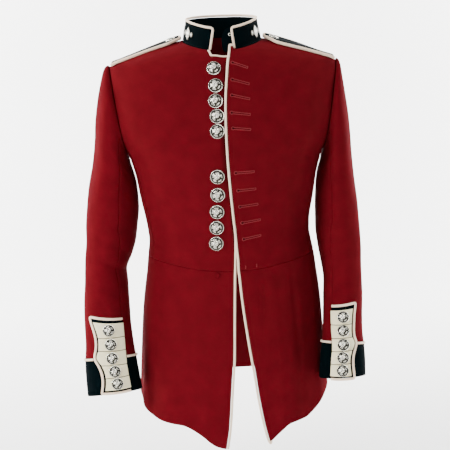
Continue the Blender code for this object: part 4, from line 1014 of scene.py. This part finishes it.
def makeLoops(side):
    # five tapes edge to edge, each a little crowned: out = cloth * (1 - 0.3 * |t|^6), t from -1 to 1
    edges = cuffValues[sideWord(side)]["loops"]
    grids = []
    for start, end in zip(edges[:-1], edges[1:]):
        t = 2 * edgeShares(9, 24.0) - 1
        shares = (start + end) / 2 + t * ((end - start) / 2 - cuffValues["loopGap"])
        out = loopUnder + cuffValues["loopCloth"] * (1 - 0.3 * np.abs(t) ** 6)
        grids.append(onSlash(side, shares, loopEnd(side, shares), seamPsi(side, shares) - 0.6,
                             edgeShares(20, 54.0), out[:, None]))
    parts = [shellParts(top, side, cuffValues["loopCloth"]) for top in grids]
    return joinParts(parts), np.concatenate(grids)


def makeSlashPiping(side):
    # along the top, down the three-pointed edge and back along the bottom
    wide, high = cuffValues["slashPiping"]
    shares = np.linspace(0, 1, 60)
    seamTop, seamBottom = seamPsi(side, numbers(0, 1)) - 1.5
    edge = cuffValues[sideWord(side)]["edge"]
    outline = [(0.0, p) for p in np.linspace(seamTop, edge[0][1] + 3, 16)]
    outline += list(zip(shares, slashEdge(side, shares)))
    outline += [(1.0, p) for p in np.linspace(edge[-1][1] + 3, seamBottom, 16)]
    psi, row = slashPlace(side, *np.array(outline).T)
    normal = sleeveNormal(side, psi, row)
    place = onSleeve(side, psi, row, cuffValues["slashUnder"] + high)
    path = besidePath(place, normal, -side * (wide + 0.6))
    return makeTube(f"piping_slash_{sideWord(side)}", path, normal, wide, high, 1.4, 12, 2.3)


def makeCuffPiping(side):
    # round the sleeve on the cuff's top, from behind the slash to its edge; the share at which it
    # meets the slash and the height there are worked out by turns
    wide, high = cuffValues["cuffPiping"]
    values, top = cuffValues[sideWord(side)], sleeveValues["cuffRow"]
    share = numbers(0.54)
    for _ in range(6):
        end = slashEdge(side, share) - 9.5
        height = sleeveForm(side, end, numbers(top))[:, 2]
        height = height - readLine(values["slope"], share) * (end - 65)
        share = (values["top"] - height) / values["drop"]
    psi = np.linspace(float(frontSeam(side, top)) + 2.2, 360 + float(end[0]), 120)
    row = np.full(len(psi), top - 0.03)
    path = onSleeve(side, psi, row, cuffValues["proud"] + 0.5 + high)
    return makeTube(f"piping_cuff_{sideWord(side)}", path, sleeveNormal(side, psi, row), wide, high,
                    1.8, 12, 2.3)


for side in (-1, 1):
    word = sideWord(side)
    top = makeCuff(side)
    piece = shell(f"cloth_cuff_{word}", top, side, cuffValues["thick"], wrap=True)
    keep(piece, blueFacing, f"cuff_{word}")
    top = makeSlash(side)
    piece = shell(f"cloth_slash_{word}", top, side, cuffValues["slashCloth"])
    keep(piece, blueFacing, f"slash_{word}")
    parts, top = makeLoops(side)
    piece = putMesh(f"tape_loops_{word}", *parts)
    keep(piece, creamTape, f"cuff_loops_{word}")
    keep(makeSlashPiping(side), creamCord, f"slash_piping_{word}")
    keep(makeCuffPiping(side), creamCord, f"cuff_piping_{word}")
print("cuffs made")

pipingValues = {"radius": 2.1, "gap": 0.5}


def makeFrontPiping(side):
    # along the open neckline, round its corner and down the front edge to the hem
    start = float(-neckDrop(side, 0.0))
    levels = start + (1 - start / tipLevel) * np.linspace(0, -16, 12)
    levels = np.concatenate([levels, np.linspace(tipLevel, -397, 120), np.linspace(-399, -735, 120)])
    for _ in range(6):
        theta = edgeTheta(side, levels)
        levels[-1] = hemLevel(theta[-1]) + 1
    along = numbers(17.9, 16.7)
    if side < 0:
        along = np.concatenate([np.linspace(-27.4, -22.5, 6), np.linspace(-18, 6, 9)])
    level = -neckDrop(side, along)
    theta = np.concatenate([thetaAt(along, level), theta])
    level = np.concatenate([level, levels])
    if side > 0:
        out = -0.25 - ease((-level - 400) / 50) * 0.75
    else:
        out = -2.1 + ease((-level - 385) / 40) * 1.1
    radius, ups = pipingValues["radius"], bodyNormal(theta, level)
    path = besidePath(frontPoint(side, theta, level, out), ups, side * (radius + pipingValues["gap"]))
    return makeTube(f"piping_front_{sideWord(side)}", path, ups, radius, radius)


for side in (-1, 1):
    keep(makeFrontPiping(side), creamCord, f"front_piping_{sideWord(side)}")
print("front pipings made")

collarValues = {
    "height": [(0, 36.5), (60, 36), (90, 36), (180, 37)],
    "half": 66.0, "front": 69.5, "back": 57.5,
    "ends": {"left": (25.0, 20.5), "right": (-25.0, -18.5)},
    "cloth": 2.6,
    "tab": [(26, -19, 13), (18, -22, 16.5), (11, -25, 16), (5, -25, 12), (1, -20, 5), (-1, -12, -3)],
    "ornamentTheta": 60.0,
    "ornamentRise": 19.0,
    # along the collar, half height
    "ornament": [(-16, 1.5), (-11.7, 5.6), (-7.4, 3.0), (-3.9, 8), (0, 12.6), (3.9, 8), (7.4, 3.0),
                 (11.7, 5.6), (16, 1.5)],
    "square": 2.1,
    "tabCloth": 2.0,
    "lift": (0, 0, 0.3),  # the collar stands this far over the neck seam
    "piping": 2.1,
    "pipingAway": 2.6,
}


def halfTurn(theta):
    # angles past 180 as negative ones
    return np.where(theta > 180, theta - 360, theta)


def outward(theta):
    # the level direction away from the neck
    sine, cosine = sineCosine(theta)
    return np.stack([sine, -cosine, 0 * sine], -1)


def collarPoint(theta, rise, out=0.0):
    # straight from the neck ring up to the collar's own top ring, out along its own normal
    low = body(theta, 0 * theta, relief=False)
    half, front, behind = (collarValues[k] for k in ("half", "front", "back"))
    height = readCurve(collarValues["height"], 180 - np.abs(180 - np.abs(theta)))[0]
    x, y = ovalPlace(theta, half, front, behind, collarValues["square"])
    high = np.stack([x, y, low[..., 2] + height], -1)
    place = low + (high - low) * np.asarray(rise)[..., None]
    depth = np.where(sineCosine(theta)[1] > 0, front, behind)
    normal = unit(np.stack([x / half**2, y / depth**2, 0 * x], -1))
    return place + normal * np.asarray(out)[..., None]


def collarTheta(x, rise):
    neckHalf = bodyValues["cuts"][0][1]
    half = neckHalf + (collarValues["half"] - neckHalf) * rise
    return np.degrees(np.arcsin(signedPower(x / half, collarValues["square"] / 2)))


def makeCollar():
    # from the wearer's left end round the back to the right end, its foot tucked under the neck seam
    rises = np.append(edgeShares(11, 36.0)[::-1], -0.045)[::-1]
    left, right = (collarTheta(readLine(list(enumerate(collarValues["ends"][word])), rises), rises)
                   for word in ("left", "right"))
    theta = halfTurn(left[:, None] + (360 + right - left)[:, None] * edgeShares(150, 400.0))
    rise = rises[:, None] + 0 * theta
    soft = 0.35 * sineCosine(theta * 3)[0] * np.sin(np.pi * rise)
    return collarPoint(theta, rise, soft) + collarValues["lift"]


def makeCollarPiping():
    # up one end, along the top and down the other end
    radius, away = collarValues["piping"], collarValues["pipingAway"]
    middle = -collarValues["cloth"] / 2
    places, angles = [], []
    for word, inward in (("left", -1), ("right", 1)):
        low, high = collarValues["ends"][word]
        rise = np.append(np.linspace(0.05 if inward < 0 else 0.0, 0.95, 14), 1.0)
        theta = collarTheta(low + (high - low) * rise, rise)
        place = collarPoint(theta, rise, middle) + collarValues["lift"] + (inward * away, 0, 0)
        place[-1] += numbers(-inward * 0.28, 0, 0.75) * away
        places.append(place)
        angles.append(theta)
    theta = halfTurn(np.linspace(angles[0][-1] + 1.5, 360 + angles[1][-1] - 1.5, 160))
    top = collarPoint(theta, 1.0, middle) + collarValues["lift"] + (0, 0, away)
    path = np.concatenate([places[0], top, places[1][::-1]])
    ups = outward(np.concatenate([angles[0], theta, angles[1][::-1]]))
    return makeTube("piping_collar", path, ups, radius, radius)


def makeTab():
    x = np.concatenate([[26, 25.5, 24.4], np.linspace(23, 1, 20), [0.2, -0.5, -1]])[:, None]
    bottom, top = readCurve(collarValues["tab"], x)
    rise = (bottom + (top - bottom) * edgeShares(14, 36.0) + 22) / 36.5
    return collarPoint(collarTheta(x + 0 * rise, rise), rise, -4.1)


def makeOrnament(side):
    # a plain four-lobed motif of domed lobes: half height and thickness follow |cos| along it
    along = np.linspace(-16, 16, 71)
    half = readCurve(collarValues["ornament"], along)[0]
    across = np.linspace(-1, 1, 21)[:, None]
    theta = side * (collarValues["ornamentTheta"] + np.degrees(along / 70.0))
    rise = (collarValues["ornamentRise"] + across * half) / 36
    dome = np.sqrt(np.clip(1 - across**2, 0, 1)) * np.clip(half / 7, 0.35, 1)
    dome = dome * (1 + 0.12 * np.cos(across * 9) + 0.1 * np.cos(along * 1.9))
    grid = collarPoint(theta + 0 * rise, rise, 1.05 + 1.15 * dome)
    raised = {"raised": 0.10 + 0.5 * dome}
    return shell(f"metal_ornament_{sideWord(side)}", grid, side, 0.9, extra=raised)


top = makeCollar()
piece = shell("cloth_collar", top, 1, collarValues["cloth"])
keep(piece, blueFacing, "collar")
keep(makeCollarPiping(), creamCord, "collar_piping")
top = makeTab()
piece = shell("cloth_collar_tab", top, 1, collarValues["tabCloth"])
keep(piece, blueFacing, "collar_tab")
for side in (-1, 1):
    keep(makeOrnament(side), whiteMetal, f"collar_ornament_{sideWord(side)}")
print("collar made")

strapValues = {
    # x, half width, lift at its middle
    "rows": [(204, 22.5, 2.4), (197, 24, 1.9), (189, 25, 1.2), (172, 26, 0.7), (152, 26, 0.5),
             (132, 26, 0.7), (114, 25, 1.2), (100, 24, 2.2), (90, 15.5, 3.6), (80, 6, 4.8)],
    "edges": (0.5, 3.2),  # how much more its front and rear edges are lifted
    "forward": {
        "right": [(204, 2), (190, 2), (170, 2), (140, 2), (110, 2), (95, 2), (80, 2)],
        "left": [(204, 2), (190, 3), (170, 5), (152, 8), (133, 11), (114, 13), (95, 11), (80, 6)],
    },
    "cloth": 2.0,
    "piping": 2.3,
    "buttonX": 95.0,
}


def shoulderPoint(x, y):
    # the cut of the body that passes over a place in plan
    levels = np.linspace(0, -60, 241)
    half, front, behind, square, tilt = readCurve(bodyValues["cuts"], levels)
    depth = np.where(y[..., None] < 0, front, behind)
    inside = (np.abs(x)[..., None] / half) ** square + (np.abs(y)[..., None] / depth) ** square
    first = np.clip(np.argmax(inside <= 1, -1), 1, len(levels) - 1)
    a, b = (np.take_along_axis(inside, k[..., None], -1)[..., 0] for k in (first - 1, first))
    share = np.clip((a - 1) / (a - b), 0, 1)
    level = levels[first - 1] + (levels[first] - levels[first - 1]) * share
    half, front, behind, square, tilt = readCurve(bodyValues["cuts"], level)
    ahead = np.degrees(np.arcsin(np.clip(signedPower(x / half, square / 2), 0, 1)))
    z = level + tilt * readCurve(bodyValues["neck"], np.where(y < 0, ahead, 180 - ahead))[0]
    return np.stack([x, y, z], -1)


def strapForward(side, x):
    return readCurve(strapValues["forward"][sideWord(side)], x)[0]


def strapHalf(x):
    return readLine(strapValues["rows"], x)


def strapSurface(side, x, across, out):
    # width and lift follow the rows, and its edges stand off the shoulder: lift + edge * across^2
    place = shoulderPoint(x + 0 * across, strapHalf(x) * across - strapForward(side, x))
    lift = readLine(strapValues["rows"], x, 2) + np.where(across < 0, *strapValues["edges"]) * across**2
    place[..., 2] += lift + out
    return place * numbers(side, 1, 1)


def strapFace(side, x, across):
    # the strap's own face, whose edges round off
    return strapSurface(side, x, across, strapValues["cloth"] - 0.9 * np.abs(across) ** 8)


def makeStrap(side):
    x = np.concatenate([[204, 203.5, 202.4], np.linspace(200, 84, 56), [81.6, 80.5, 80]])
    return strapFace(side, *np.broadcast_arrays(x[:, None], 2 * edgeShares(18, 55.0) - 1))


def makeStrapPiping(side):
    # along the front edge, round the pointed end and back along the rear edge
    piping, x = strapValues["piping"], np.array(strapValues["rows"], float)[:, :1]
    across = np.linspace(-1, 1, 7) + 0 * x
    grid = strapSurface(side, x + 0 * across, across, strapValues["cloth"] * 0.55)
    path = np.concatenate([grid[:, 0], grid[-1, 2:-2], grid[::-1, -1]])
    away = np.cross(unit(np.gradient(path, axis=0)), (0, 0, 1))
    away = unit(away * (1, 1, 0))
    away *= np.sign(np.sum(away[2] * (path[2] - grid.mean((0, 1)))))
    ups = np.repeat([[0.0, 0.0, 1.0]], len(path), 0)
    return makeTube(f"piping_strap_{sideWord(side)}", path + away * (piping + 0.48), ups, piping,
                    piping * 1.22)


buttonValues = {
    "front": [(-16.3, -54), (-14.2, -84), (-15.2, -110.7), (-13.4, -137.2), (-13.6, -163.5),
              (-16.0, -243), (-16.6, -275.5), (-18.8, -306.5), (-20.3, -335.5), (-22, -364.5)],
    "frontSize": (12.7, 6.2),  # radius, height
    "cuffSize": (11.0, 5.6),
    "strapSize": (9.0, 5.0),
    "waistAt": (-21.5, -422.0),
    "waistSize": (5.5, 2.4),
    "turns": [7, -11, 4, 19, -6, 12, -17, 3, 9, -8],  # degrees that each button is turned
    "back": [(0.80, 0), (0.86, 0), (0.94, 0.16), (1.0, 0.27), (0.995, 0.34)],  # of radius, of height
}


def makeButton(name, at, facing, size, turned=0.0, plain=False):
    # height over the back, by share r of the radius: a rounded edge, a raised rim at 0.9, a valley,
    # then a dome; on it a ring of beads, twelve petals and a boss, worked out from r and the angle
    radius, height = size
    facing = unit(np.asarray(facing, float))
    right = unit(np.cross((0, 0, 1), facing))
    up = np.cross(facing, right)
    count = 40 if plain else 96
    turn = np.arange(count) * 2 * np.pi / count
    r = np.concatenate([np.linspace(0.02, 0.78, 9 if plain else 24),
                        np.linspace(0.80, 0.97, 7 if plain else 9)])
    r, angle = np.meshgrid(r, turn + np.radians(turned), indexing="ij")
    dome = 0.46 + 0.50 * np.sqrt(np.clip(1 - (r / 0.86) ** 2, 0, 1)) ** 1.15
    rim = 0.46 + 0.16 * bell(r - 0.925, 0.035) - 0.14 * bell(r - 0.84, 0.035)
    share = ease((r - 0.74) / 0.09)
    form = dome * (1 - share) + rim * share - 0.26 * ease((r - 0.94) / 0.04)
    relief = 0.05 * bell(r - 0.55, 0.12)
    if not plain:
        petals = np.abs(np.cos(6 * angle)) ** 0.7 * bell(r - 0.36, 0.13) * (1 + 0.5 * np.sin(3 * angle))
        beads = np.abs(np.cos(16 * angle)) ** 1.2 * bell(r - 0.66, 0.045)
        boss = bell(r, 0.15) * (1 + 0.25 * np.cos(8 * angle))
        leaves = np.clip(np.cos(12 * angle + 9 * r), 0, 1) * bell(r - 0.55, 0.05)
        relief = 0.11 * petals + 0.075 * beads + 0.10 * boss + 0.06 * leaves
    rise = form + relief - relief.max() * 0.25
    back = np.array(buttonValues["back"])[..., None] * np.ones(count)
    radii = np.concatenate([back[:, 0], r[::-1]]) * radius
    rises = np.concatenate([back[:, 1], np.minimum(rise[::-1], 1)]) * height
    flat = np.stack([radii * np.cos(turn), radii * np.sin(turn)], -1)
    rings = at + facing * rises[..., None] + right * flat[..., :1] + up * flat[..., 1:]
    top = at + facing * min(height, float(rise[0].max() * height + 0.01))
    points, quads, caps = closeRings(rings, at, top, 1)
    uv = np.concatenate([flat.reshape(-1, 2), [[0, 0], [0, 0]]]) / 1000
    # the metal is darker in the valley, tarnish and painted shade both, and in the marks, painted dark
    # reflections that are no hollows: five spots in a ring at 0.6 and an arc on one side at 0.4; it is
    # brighter on the rim and on what stands up, partly wear and partly a painted highlight
    paintedDarkReflections = np.clip(np.cos(5 * angle + 0.8), 0, 1) ** 2 * bell(r - 0.60, 0.10)
    paintedDarkReflections = paintedDarkReflections + 1.1 * np.clip(np.cos(angle + 0.7), 0, 1) * bell(r - 0.40, 0.09)
    wearAndPaintedLight = 0.50 + 1.5 * relief + 0.5 * ease((r - 0.88) / 0.03)
    wearAndPaintedLight = wearAndPaintedLight - 0.55 * bell(r - 0.80, 0.055) - 0.6 * paintedDarkReflections
    raised = np.concatenate([np.full((len(back), count), 0.8), wearAndPaintedLight[::-1]])
    return putMesh(name, points, quads, uv, caps, {"raised": np.append(raised, [0.5, 0.9])})


for side in (-1, 1):
    word = sideWord(side)
    top = makeStrap(side)
    piece = shell(f"cloth_strap_{word}", top, -side, strapValues["cloth"] * 0.93)
    keep(piece, blueFacing, f"shoulder_strap_{word}")
    keep(makeStrapPiping(side), creamCord, f"strap_piping_{word}")
    # the strap's slope under its button comes from four places round it
    x = strapValues["buttonX"] + numbers(-8, 0, 8, 0, 0)
    y = -strapForward(side, numbers(strapValues["buttonX"])) + numbers(0, 0, 0, -8, 8)
    across = (y + strapForward(side, x)) / strapHalf(x)
    place = strapSurface(side, x, across, strapValues["cloth"])
    high = place[:, 2]
    facing = unit(numbers(side * (high[0] - high[2]) / 16, (high[3] - high[4]) / 16, 1.0))
    piece = makeButton(f"metal_button_strap_{word}", place[1] + facing * 0.7, facing,
                       buttonValues["strapSize"], 10 * side)
    keep(piece, silverPlate, f"strap_button_{word}")

    edges = np.array(cuffValues[word]["loops"])
    for k, (share, psi) in enumerate(zip((edges[:-1] + edges[1:]) / 2, cuffValues[word]["buttons"])):
        psi, row = slashPlace(side, numbers(share), numbers(psi))
        seat = onSleeve(side, psi, row, loopUnder + cuffValues["loopCloth"] + 0.8)[0]
        piece = makeButton(f"metal_button_cuff_{word}_{k + 1}", seat, sleeveNormal(side, psi, row)[0],
                           buttonValues["cuffSize"], buttonValues["turns"][k] * side)
        keep(piece, silverPlate, f"cuff_button_{word}_{k + 1}")


def frontSeat(x, height, relief):
    # where a button lies on the right front, and which way it faces
    level = numbers(height)
    theta = thetaAt(numbers(x), level)
    return frontPoint(-1, theta, level, 0.5)[0], bodyNormal(theta, level, relief)[0]


for k, place in enumerate(buttonValues["front"]):
    piece = makeButton(f"metal_button_front_{k + 1}", *frontSeat(*place, False),
                       buttonValues["frontSize"], buttonValues["turns"][k])
    keep(piece, silverPlate, f"front_button_{k + 1}")
piece = makeButton("cloth_button_waist", *frontSeat(*buttonValues["waistAt"], True),
                   buttonValues["waistSize"], plain=True)
keep(piece, scarletMelton, "waist_button")
print("straps and buttons made")


# sewing that lies on the cloth
stitchValues = {
    # eyelet x, z and straight end x, z of each buttonhole on the left front
    "holes": [(17, -45, 43.5, -54.5), (15.5, -75, 45, -83), (14, -102, 45, -109),
              (12.5, -132, 45, -136), (14, -159, 45, -162), (16, -237, 49, -236),
              (19.5, -268.5, 51, -267), (22, -298, 54, -295), (25, -328, 58, -324),
              (27, -358, 58, -353)],
    "eyelet": 2.6,
    "half": 1.6,  # from the slit's middle to the purl's
    "purl": 0.75,
    "bars": [(29, -409), (49, -407)],
    "stitch": 2.6,  # length of a stitch, and the gap after it
    "gap": 1.0,
}


def onFront(side, x, z, out):
    # a point of a front over its place in x and z, below the neck
    theta = thetaAt(x, z)
    return frontPoint(side, theta, z + 0 * theta, out), bodyNormal(theta, z + 0 * theta)


def onHole(hole, a, b, out):
    # a mm along the slit from the eyelet's middle, and b mm over it
    x0, z0, x1, z1 = hole
    length = np.hypot(x1 - x0, z1 - z0)
    cosine, sine = (x1 - x0) / length, (z1 - z0) / length
    return onFront(1, x0 + a * cosine - b * sine, z0 + a * sine + b * cosine, out)


def makeHoles():
    # the purl runs round the eyelet and along both sides of the slit, closed by a bar at the end
    eyelet, half = stitchValues["eyelet"], stitchValues["half"]
    mouth = np.arcsin(half / eyelet)
    ring = np.linspace(mouth, 2 * np.pi - mouth, 22)
    outline, slits, bars = [], [], []
    for hole in stitchValues["holes"]:
        length = np.hypot(hole[2] - hole[0], hole[3] - hole[1])
        edge = np.linspace(length, eyelet * 1.25, 22)
        a = np.concatenate([edge, np.cos(ring) * eyelet, edge[::-1]])
        b = np.concatenate([np.full(22, half), np.sin(ring) * eyelet, np.full(22, -half)])
        purl = alongPath(*onHole(hole, a, b, 0.12), 0.55)
        outline.append(tubeParts(*purl, stitchValues["purl"], 0.5, 8))
        # a dark sheet of painted shadow, a little under the cloth, fills each slit and its eyelet
        a = np.linspace(-0.6, length - 0.6, 30)
        place, normal = onHole(hole, a, 0, -0.12)
        wide = 0.28 + 2.5 * bell(a, 2.2, 4)  # in the slit, and in the eyelet
        slits.append(widened(tubeParts(place, normal, 1.0, 0.22, 8), place, normal, wide))
        end = onHole(hole, length + 0.2, np.linspace(-1.9, 1.9, 8), 0.2)
        bars.append(tubeParts(*alongPath(*end, 0.5), 0.6, 0.5, 8))
    return joinParts(outline + bars), joinParts(slits)


def widened(parts, path, normal, wide):
    # the tube's rings are set to their own half width: across scales, the height stays
    points, quads, uv = parts
    rings = points[:-2].reshape(len(path) + 2, -1, 3)
    middle, facing, scale = (np.concatenate([v[:1], v, v[-1:]])[:, None]
                             for v in (path, normal, wide[:, None]))
    off = rings - middle
    high = np.sum(off * facing, -1, keepdims=True) * facing
    rings = middle + high + (off - high) * scale
    return np.concatenate([rings.reshape(-1, 3), points[-2:]]), quads, uv


def makeRows(lines, out, thick, length=stitchValues["stitch"], gap=stitchValues["gap"]):
    # stitches: short tubes laid end to end with gaps along each line of points
    parts = []
    t = np.linspace(0, 1, 5)
    for path, normal in lines:
        run = pathRun(path)
        at = np.arange(0.5, run[-1] - length, length + gap)[:, None] + t * length
        place, facing = ([pathAt(row, run, v) for row in at] for v in (path, normal))
        facing = unit(np.array(facing))
        place = np.array(place) + facing * (out + thick * (np.sin(np.pi * t) - 0.55)[:, None])
        parts += [tubeParts(p, n, thick, thick * 0.8, 4) for p, n in zip(place, facing)]
    return joinParts(parts)


def keepParts(name, parts, material):
    keep(putMesh(name, *parts), material)


outline, slits = makeHoles()
keepParts("stitch_buttonholes", outline, scarletThread)
# the slits are dark sheets of painted shadow
keepParts("painted_shadow_buttonhole_slits", slits, shadowCloth)
bars = [alongPath(*onFront(1, float(x), np.linspace(z + 2.6, z - 3.4, 8), 0.25), 0.6)
        for x, z in stitchValues["bars"]]
bars = joinParts([tubeParts(*bar, 0.8, 0.6, 8) for bar in bars])
keepParts("stitch_waist_bars", bars, scarletThread)


def edgeLine(side, start, end, inset):
    # a line beside a front edge, inset mm from it
    levels = np.linspace(start, end, 160)
    return onFront(side, frontEdge(side, levels) + side * inset, levels, 0.0)


rows = [edgeLine(1, -32, -728, 1.4), edgeLine(-1, -62, -722, 1.4)]
keepParts("stitch_front_edges", makeRows(rows, 0.02, 0.16), scarletThread)


def strapLine(side, edge, inset):
    x = np.linspace(202, 101, 60)
    place = strapFace(side, x, edge * (1 - inset / strapHalf(x)))
    return place, np.repeat([[0.0, 0.0, 1.0]], len(x), 0)


def collarLine(rise):
    theta = halfTurn(np.linspace(28, 332, 300))
    return collarPoint(theta, rise) + collarValues["lift"], outward(theta)


rows = [collarLine(0.95), collarLine(0.05)]
rows += [strapLine(side, edge, 2.6) for side in (-1, 1) for edge in (-1, 1)]
keepParts("stitch_blue", makeRows(rows, 0.05, 0.15, 2.2, 0.9), blueThread)


def makeEye():
    # a ring of wire on the tab
    turn = np.linspace(0, 2 * np.pi * 0.97, 24)
    middle = collarPoint(collarTheta(numbers(15.2), 0.74), 0.74, -3.7)
    ring = middle + np.stack([2.3 * np.cos(turn), 0.5 * np.cos(turn), 2.3 * np.sin(turn)], -1)
    eye = tubeParts(ring, np.repeat([[0.0, -1.0, 0.0]], 24, 0), 0.42, 0.42, 8)
    return putMesh("metal_eye", *eye, extra={"raised": np.full(len(eye[0]), 0.8)})


keep(makeEye(), whiteMetal)
print("sewing made")

# a small plain badge on each strap's outer end: a low star of eight points
badgeValues = {"x": 186.0, "radius": 6.5, "height": 0.9, "inner": 0.78, "outer": 0.22}


def makeBadge(side):
    # its reach is inner + outer * cos(8 turn), and it is highest in the middle, 1 - r^2
    turn = np.arange(64) * 2 * np.pi / 64
    r = np.linspace(0.02, 1, 10)[:, None]
    flat = r * badgeValues["radius"] * (badgeValues["inner"] + badgeValues["outer"] * np.cos(8 * turn))
    x = badgeValues["x"] + flat * np.cos(turn)
    across = flat * np.sin(turn) / strapHalf(x)
    height = badgeValues["height"] * (1 - r**2) * (1 + 0.25 * np.cos(8 * turn))
    grid = strapSurface(side, x, across, strapValues["cloth"] + 0.1 + height)
    base = strapSurface(side, x[-1:], across[-1:], strapValues["cloth"] - 0.2)
    rings = np.concatenate([grid, base])
    points, quads, caps = closeRings(rings, grid[0].mean(0), base[0].mean(0), -side)
    uv, raised = np.zeros((len(points), 2)), np.full(len(points), 0.7)
    return putMesh(f"metal_badge_strap_{sideWord(side)}", points, quads, uv, caps, {"raised": raised})


for side in (-1, 1):
    keep(makeBadge(side), whiteMetal)
print("badges made")

# floor, backdrop and lights
stageValues = {"floor": -0.86, "front": -6.0, "behind": 1.6, "radius": 0.9, "wide": 7.0, "high": 4.0,
               "colour": (0.97, 0.97, 0.965)}


def makeStage():
    # a flat floor that turns up behind in a quarter circle and goes on as a wall
    turn = np.linspace(0, np.pi / 2, 24)
    behind, radius = stageValues["behind"], stageValues["radius"]
    y = np.concatenate([[stageValues["front"]], behind + radius * np.sin(turn), [behind + radius]])
    z = np.concatenate([[0.0], radius * (1 - np.cos(turn)), [stageValues["high"]]])
    x = np.linspace(-stageValues["wide"], stageValues["wide"], 3)
    grid = np.stack(np.broadcast_arrays(x, y[:, None], z[:, None] + stageValues["floor"]), -1)
    points = grid.reshape(-1, 3) * 1000
    index = np.arange(len(points)).reshape(-1, 3)
    return putMesh("stage_floor", points, gridQuads(index, 1), points[:, :2] / 1000)


stageFloor = makeStage()
palePaint, tree, shader = newMaterial("palePaint", stageValues["colour"])
cloud = noiseNode(tree, addNode(tree, "TexCoord")["Object"], 0.8, 2.0)
dim = [v * 0.985 for v in stageValues["colour"]]
setSockets(tree, shader, {"Base Color": rampNode(tree, cloud, dim, stageValues["colour"]),
                          "Roughness": 0.9, "Specular IOR Level": 0.1})
stageFloor.data.materials.append(palePaint)

lightValues = [
    # name, place, size, watts, colour, aim
    ("keyLight", (-2.2, -1.75, 1.0), 1.3, 112, (1.0, 0.985, 0.95), (0, 0, -0.3)),
    ("frontCard", (0.6, -3.0, 0.9), 1.5, 39, (1.0, 0.985, 0.95), (0, 0, -0.3)),
    ("topLight", (-0.3, -0.4, 2.0), 1.3, 18, (1.0, 1.0, 1.0), (0, 0.0, -0.2)),
    ("backLeft", (-2.4, 0.9, 1.5), 1.6, 400, (1.0, 1.0, 1.0), (-1.8, 2.5, 0.3)),
    ("backRight", (2.4, 0.9, 1.5), 1.6, 370, (1.0, 1.0, 1.0), (2.0, 2.5, 0.3)),
]
for name, place, size, watts, tint, aim in lightValues:
    data = bpy.data.lights.new(name, "AREA")
    data.shape = "SQUARE"
    data.size = size
    data.energy = watts
    data.color = tint
    lamp = bpy.data.objects.new(name, data)
    lamp.location = place
    lamp.rotation_euler = (Vector(aim) - Vector(place)).to_track_quat("-Z", "Y").to_euler()
    bpy.context.scene.collection.objects.link(lamp)

world = bpy.data.worlds.new("studio")
bpy.context.scene.world = world
world.use_nodes = True
tree = world.node_tree
# the walls of the room are brighter in the metal's reflections than in what they add to the cloth
glossy = mathNode(tree, "MULTIPLY", addNode(tree, "LightPath")["Is Glossy Ray"], 0.55)
setSockets(tree, tree.nodes["Background"].inputs, {"Color": (0.93, 0.95, 1.0, 1),
                                                   "Strength": mathNode(tree, "ADD", glossy, 0.12)})
print("stage and lights set")
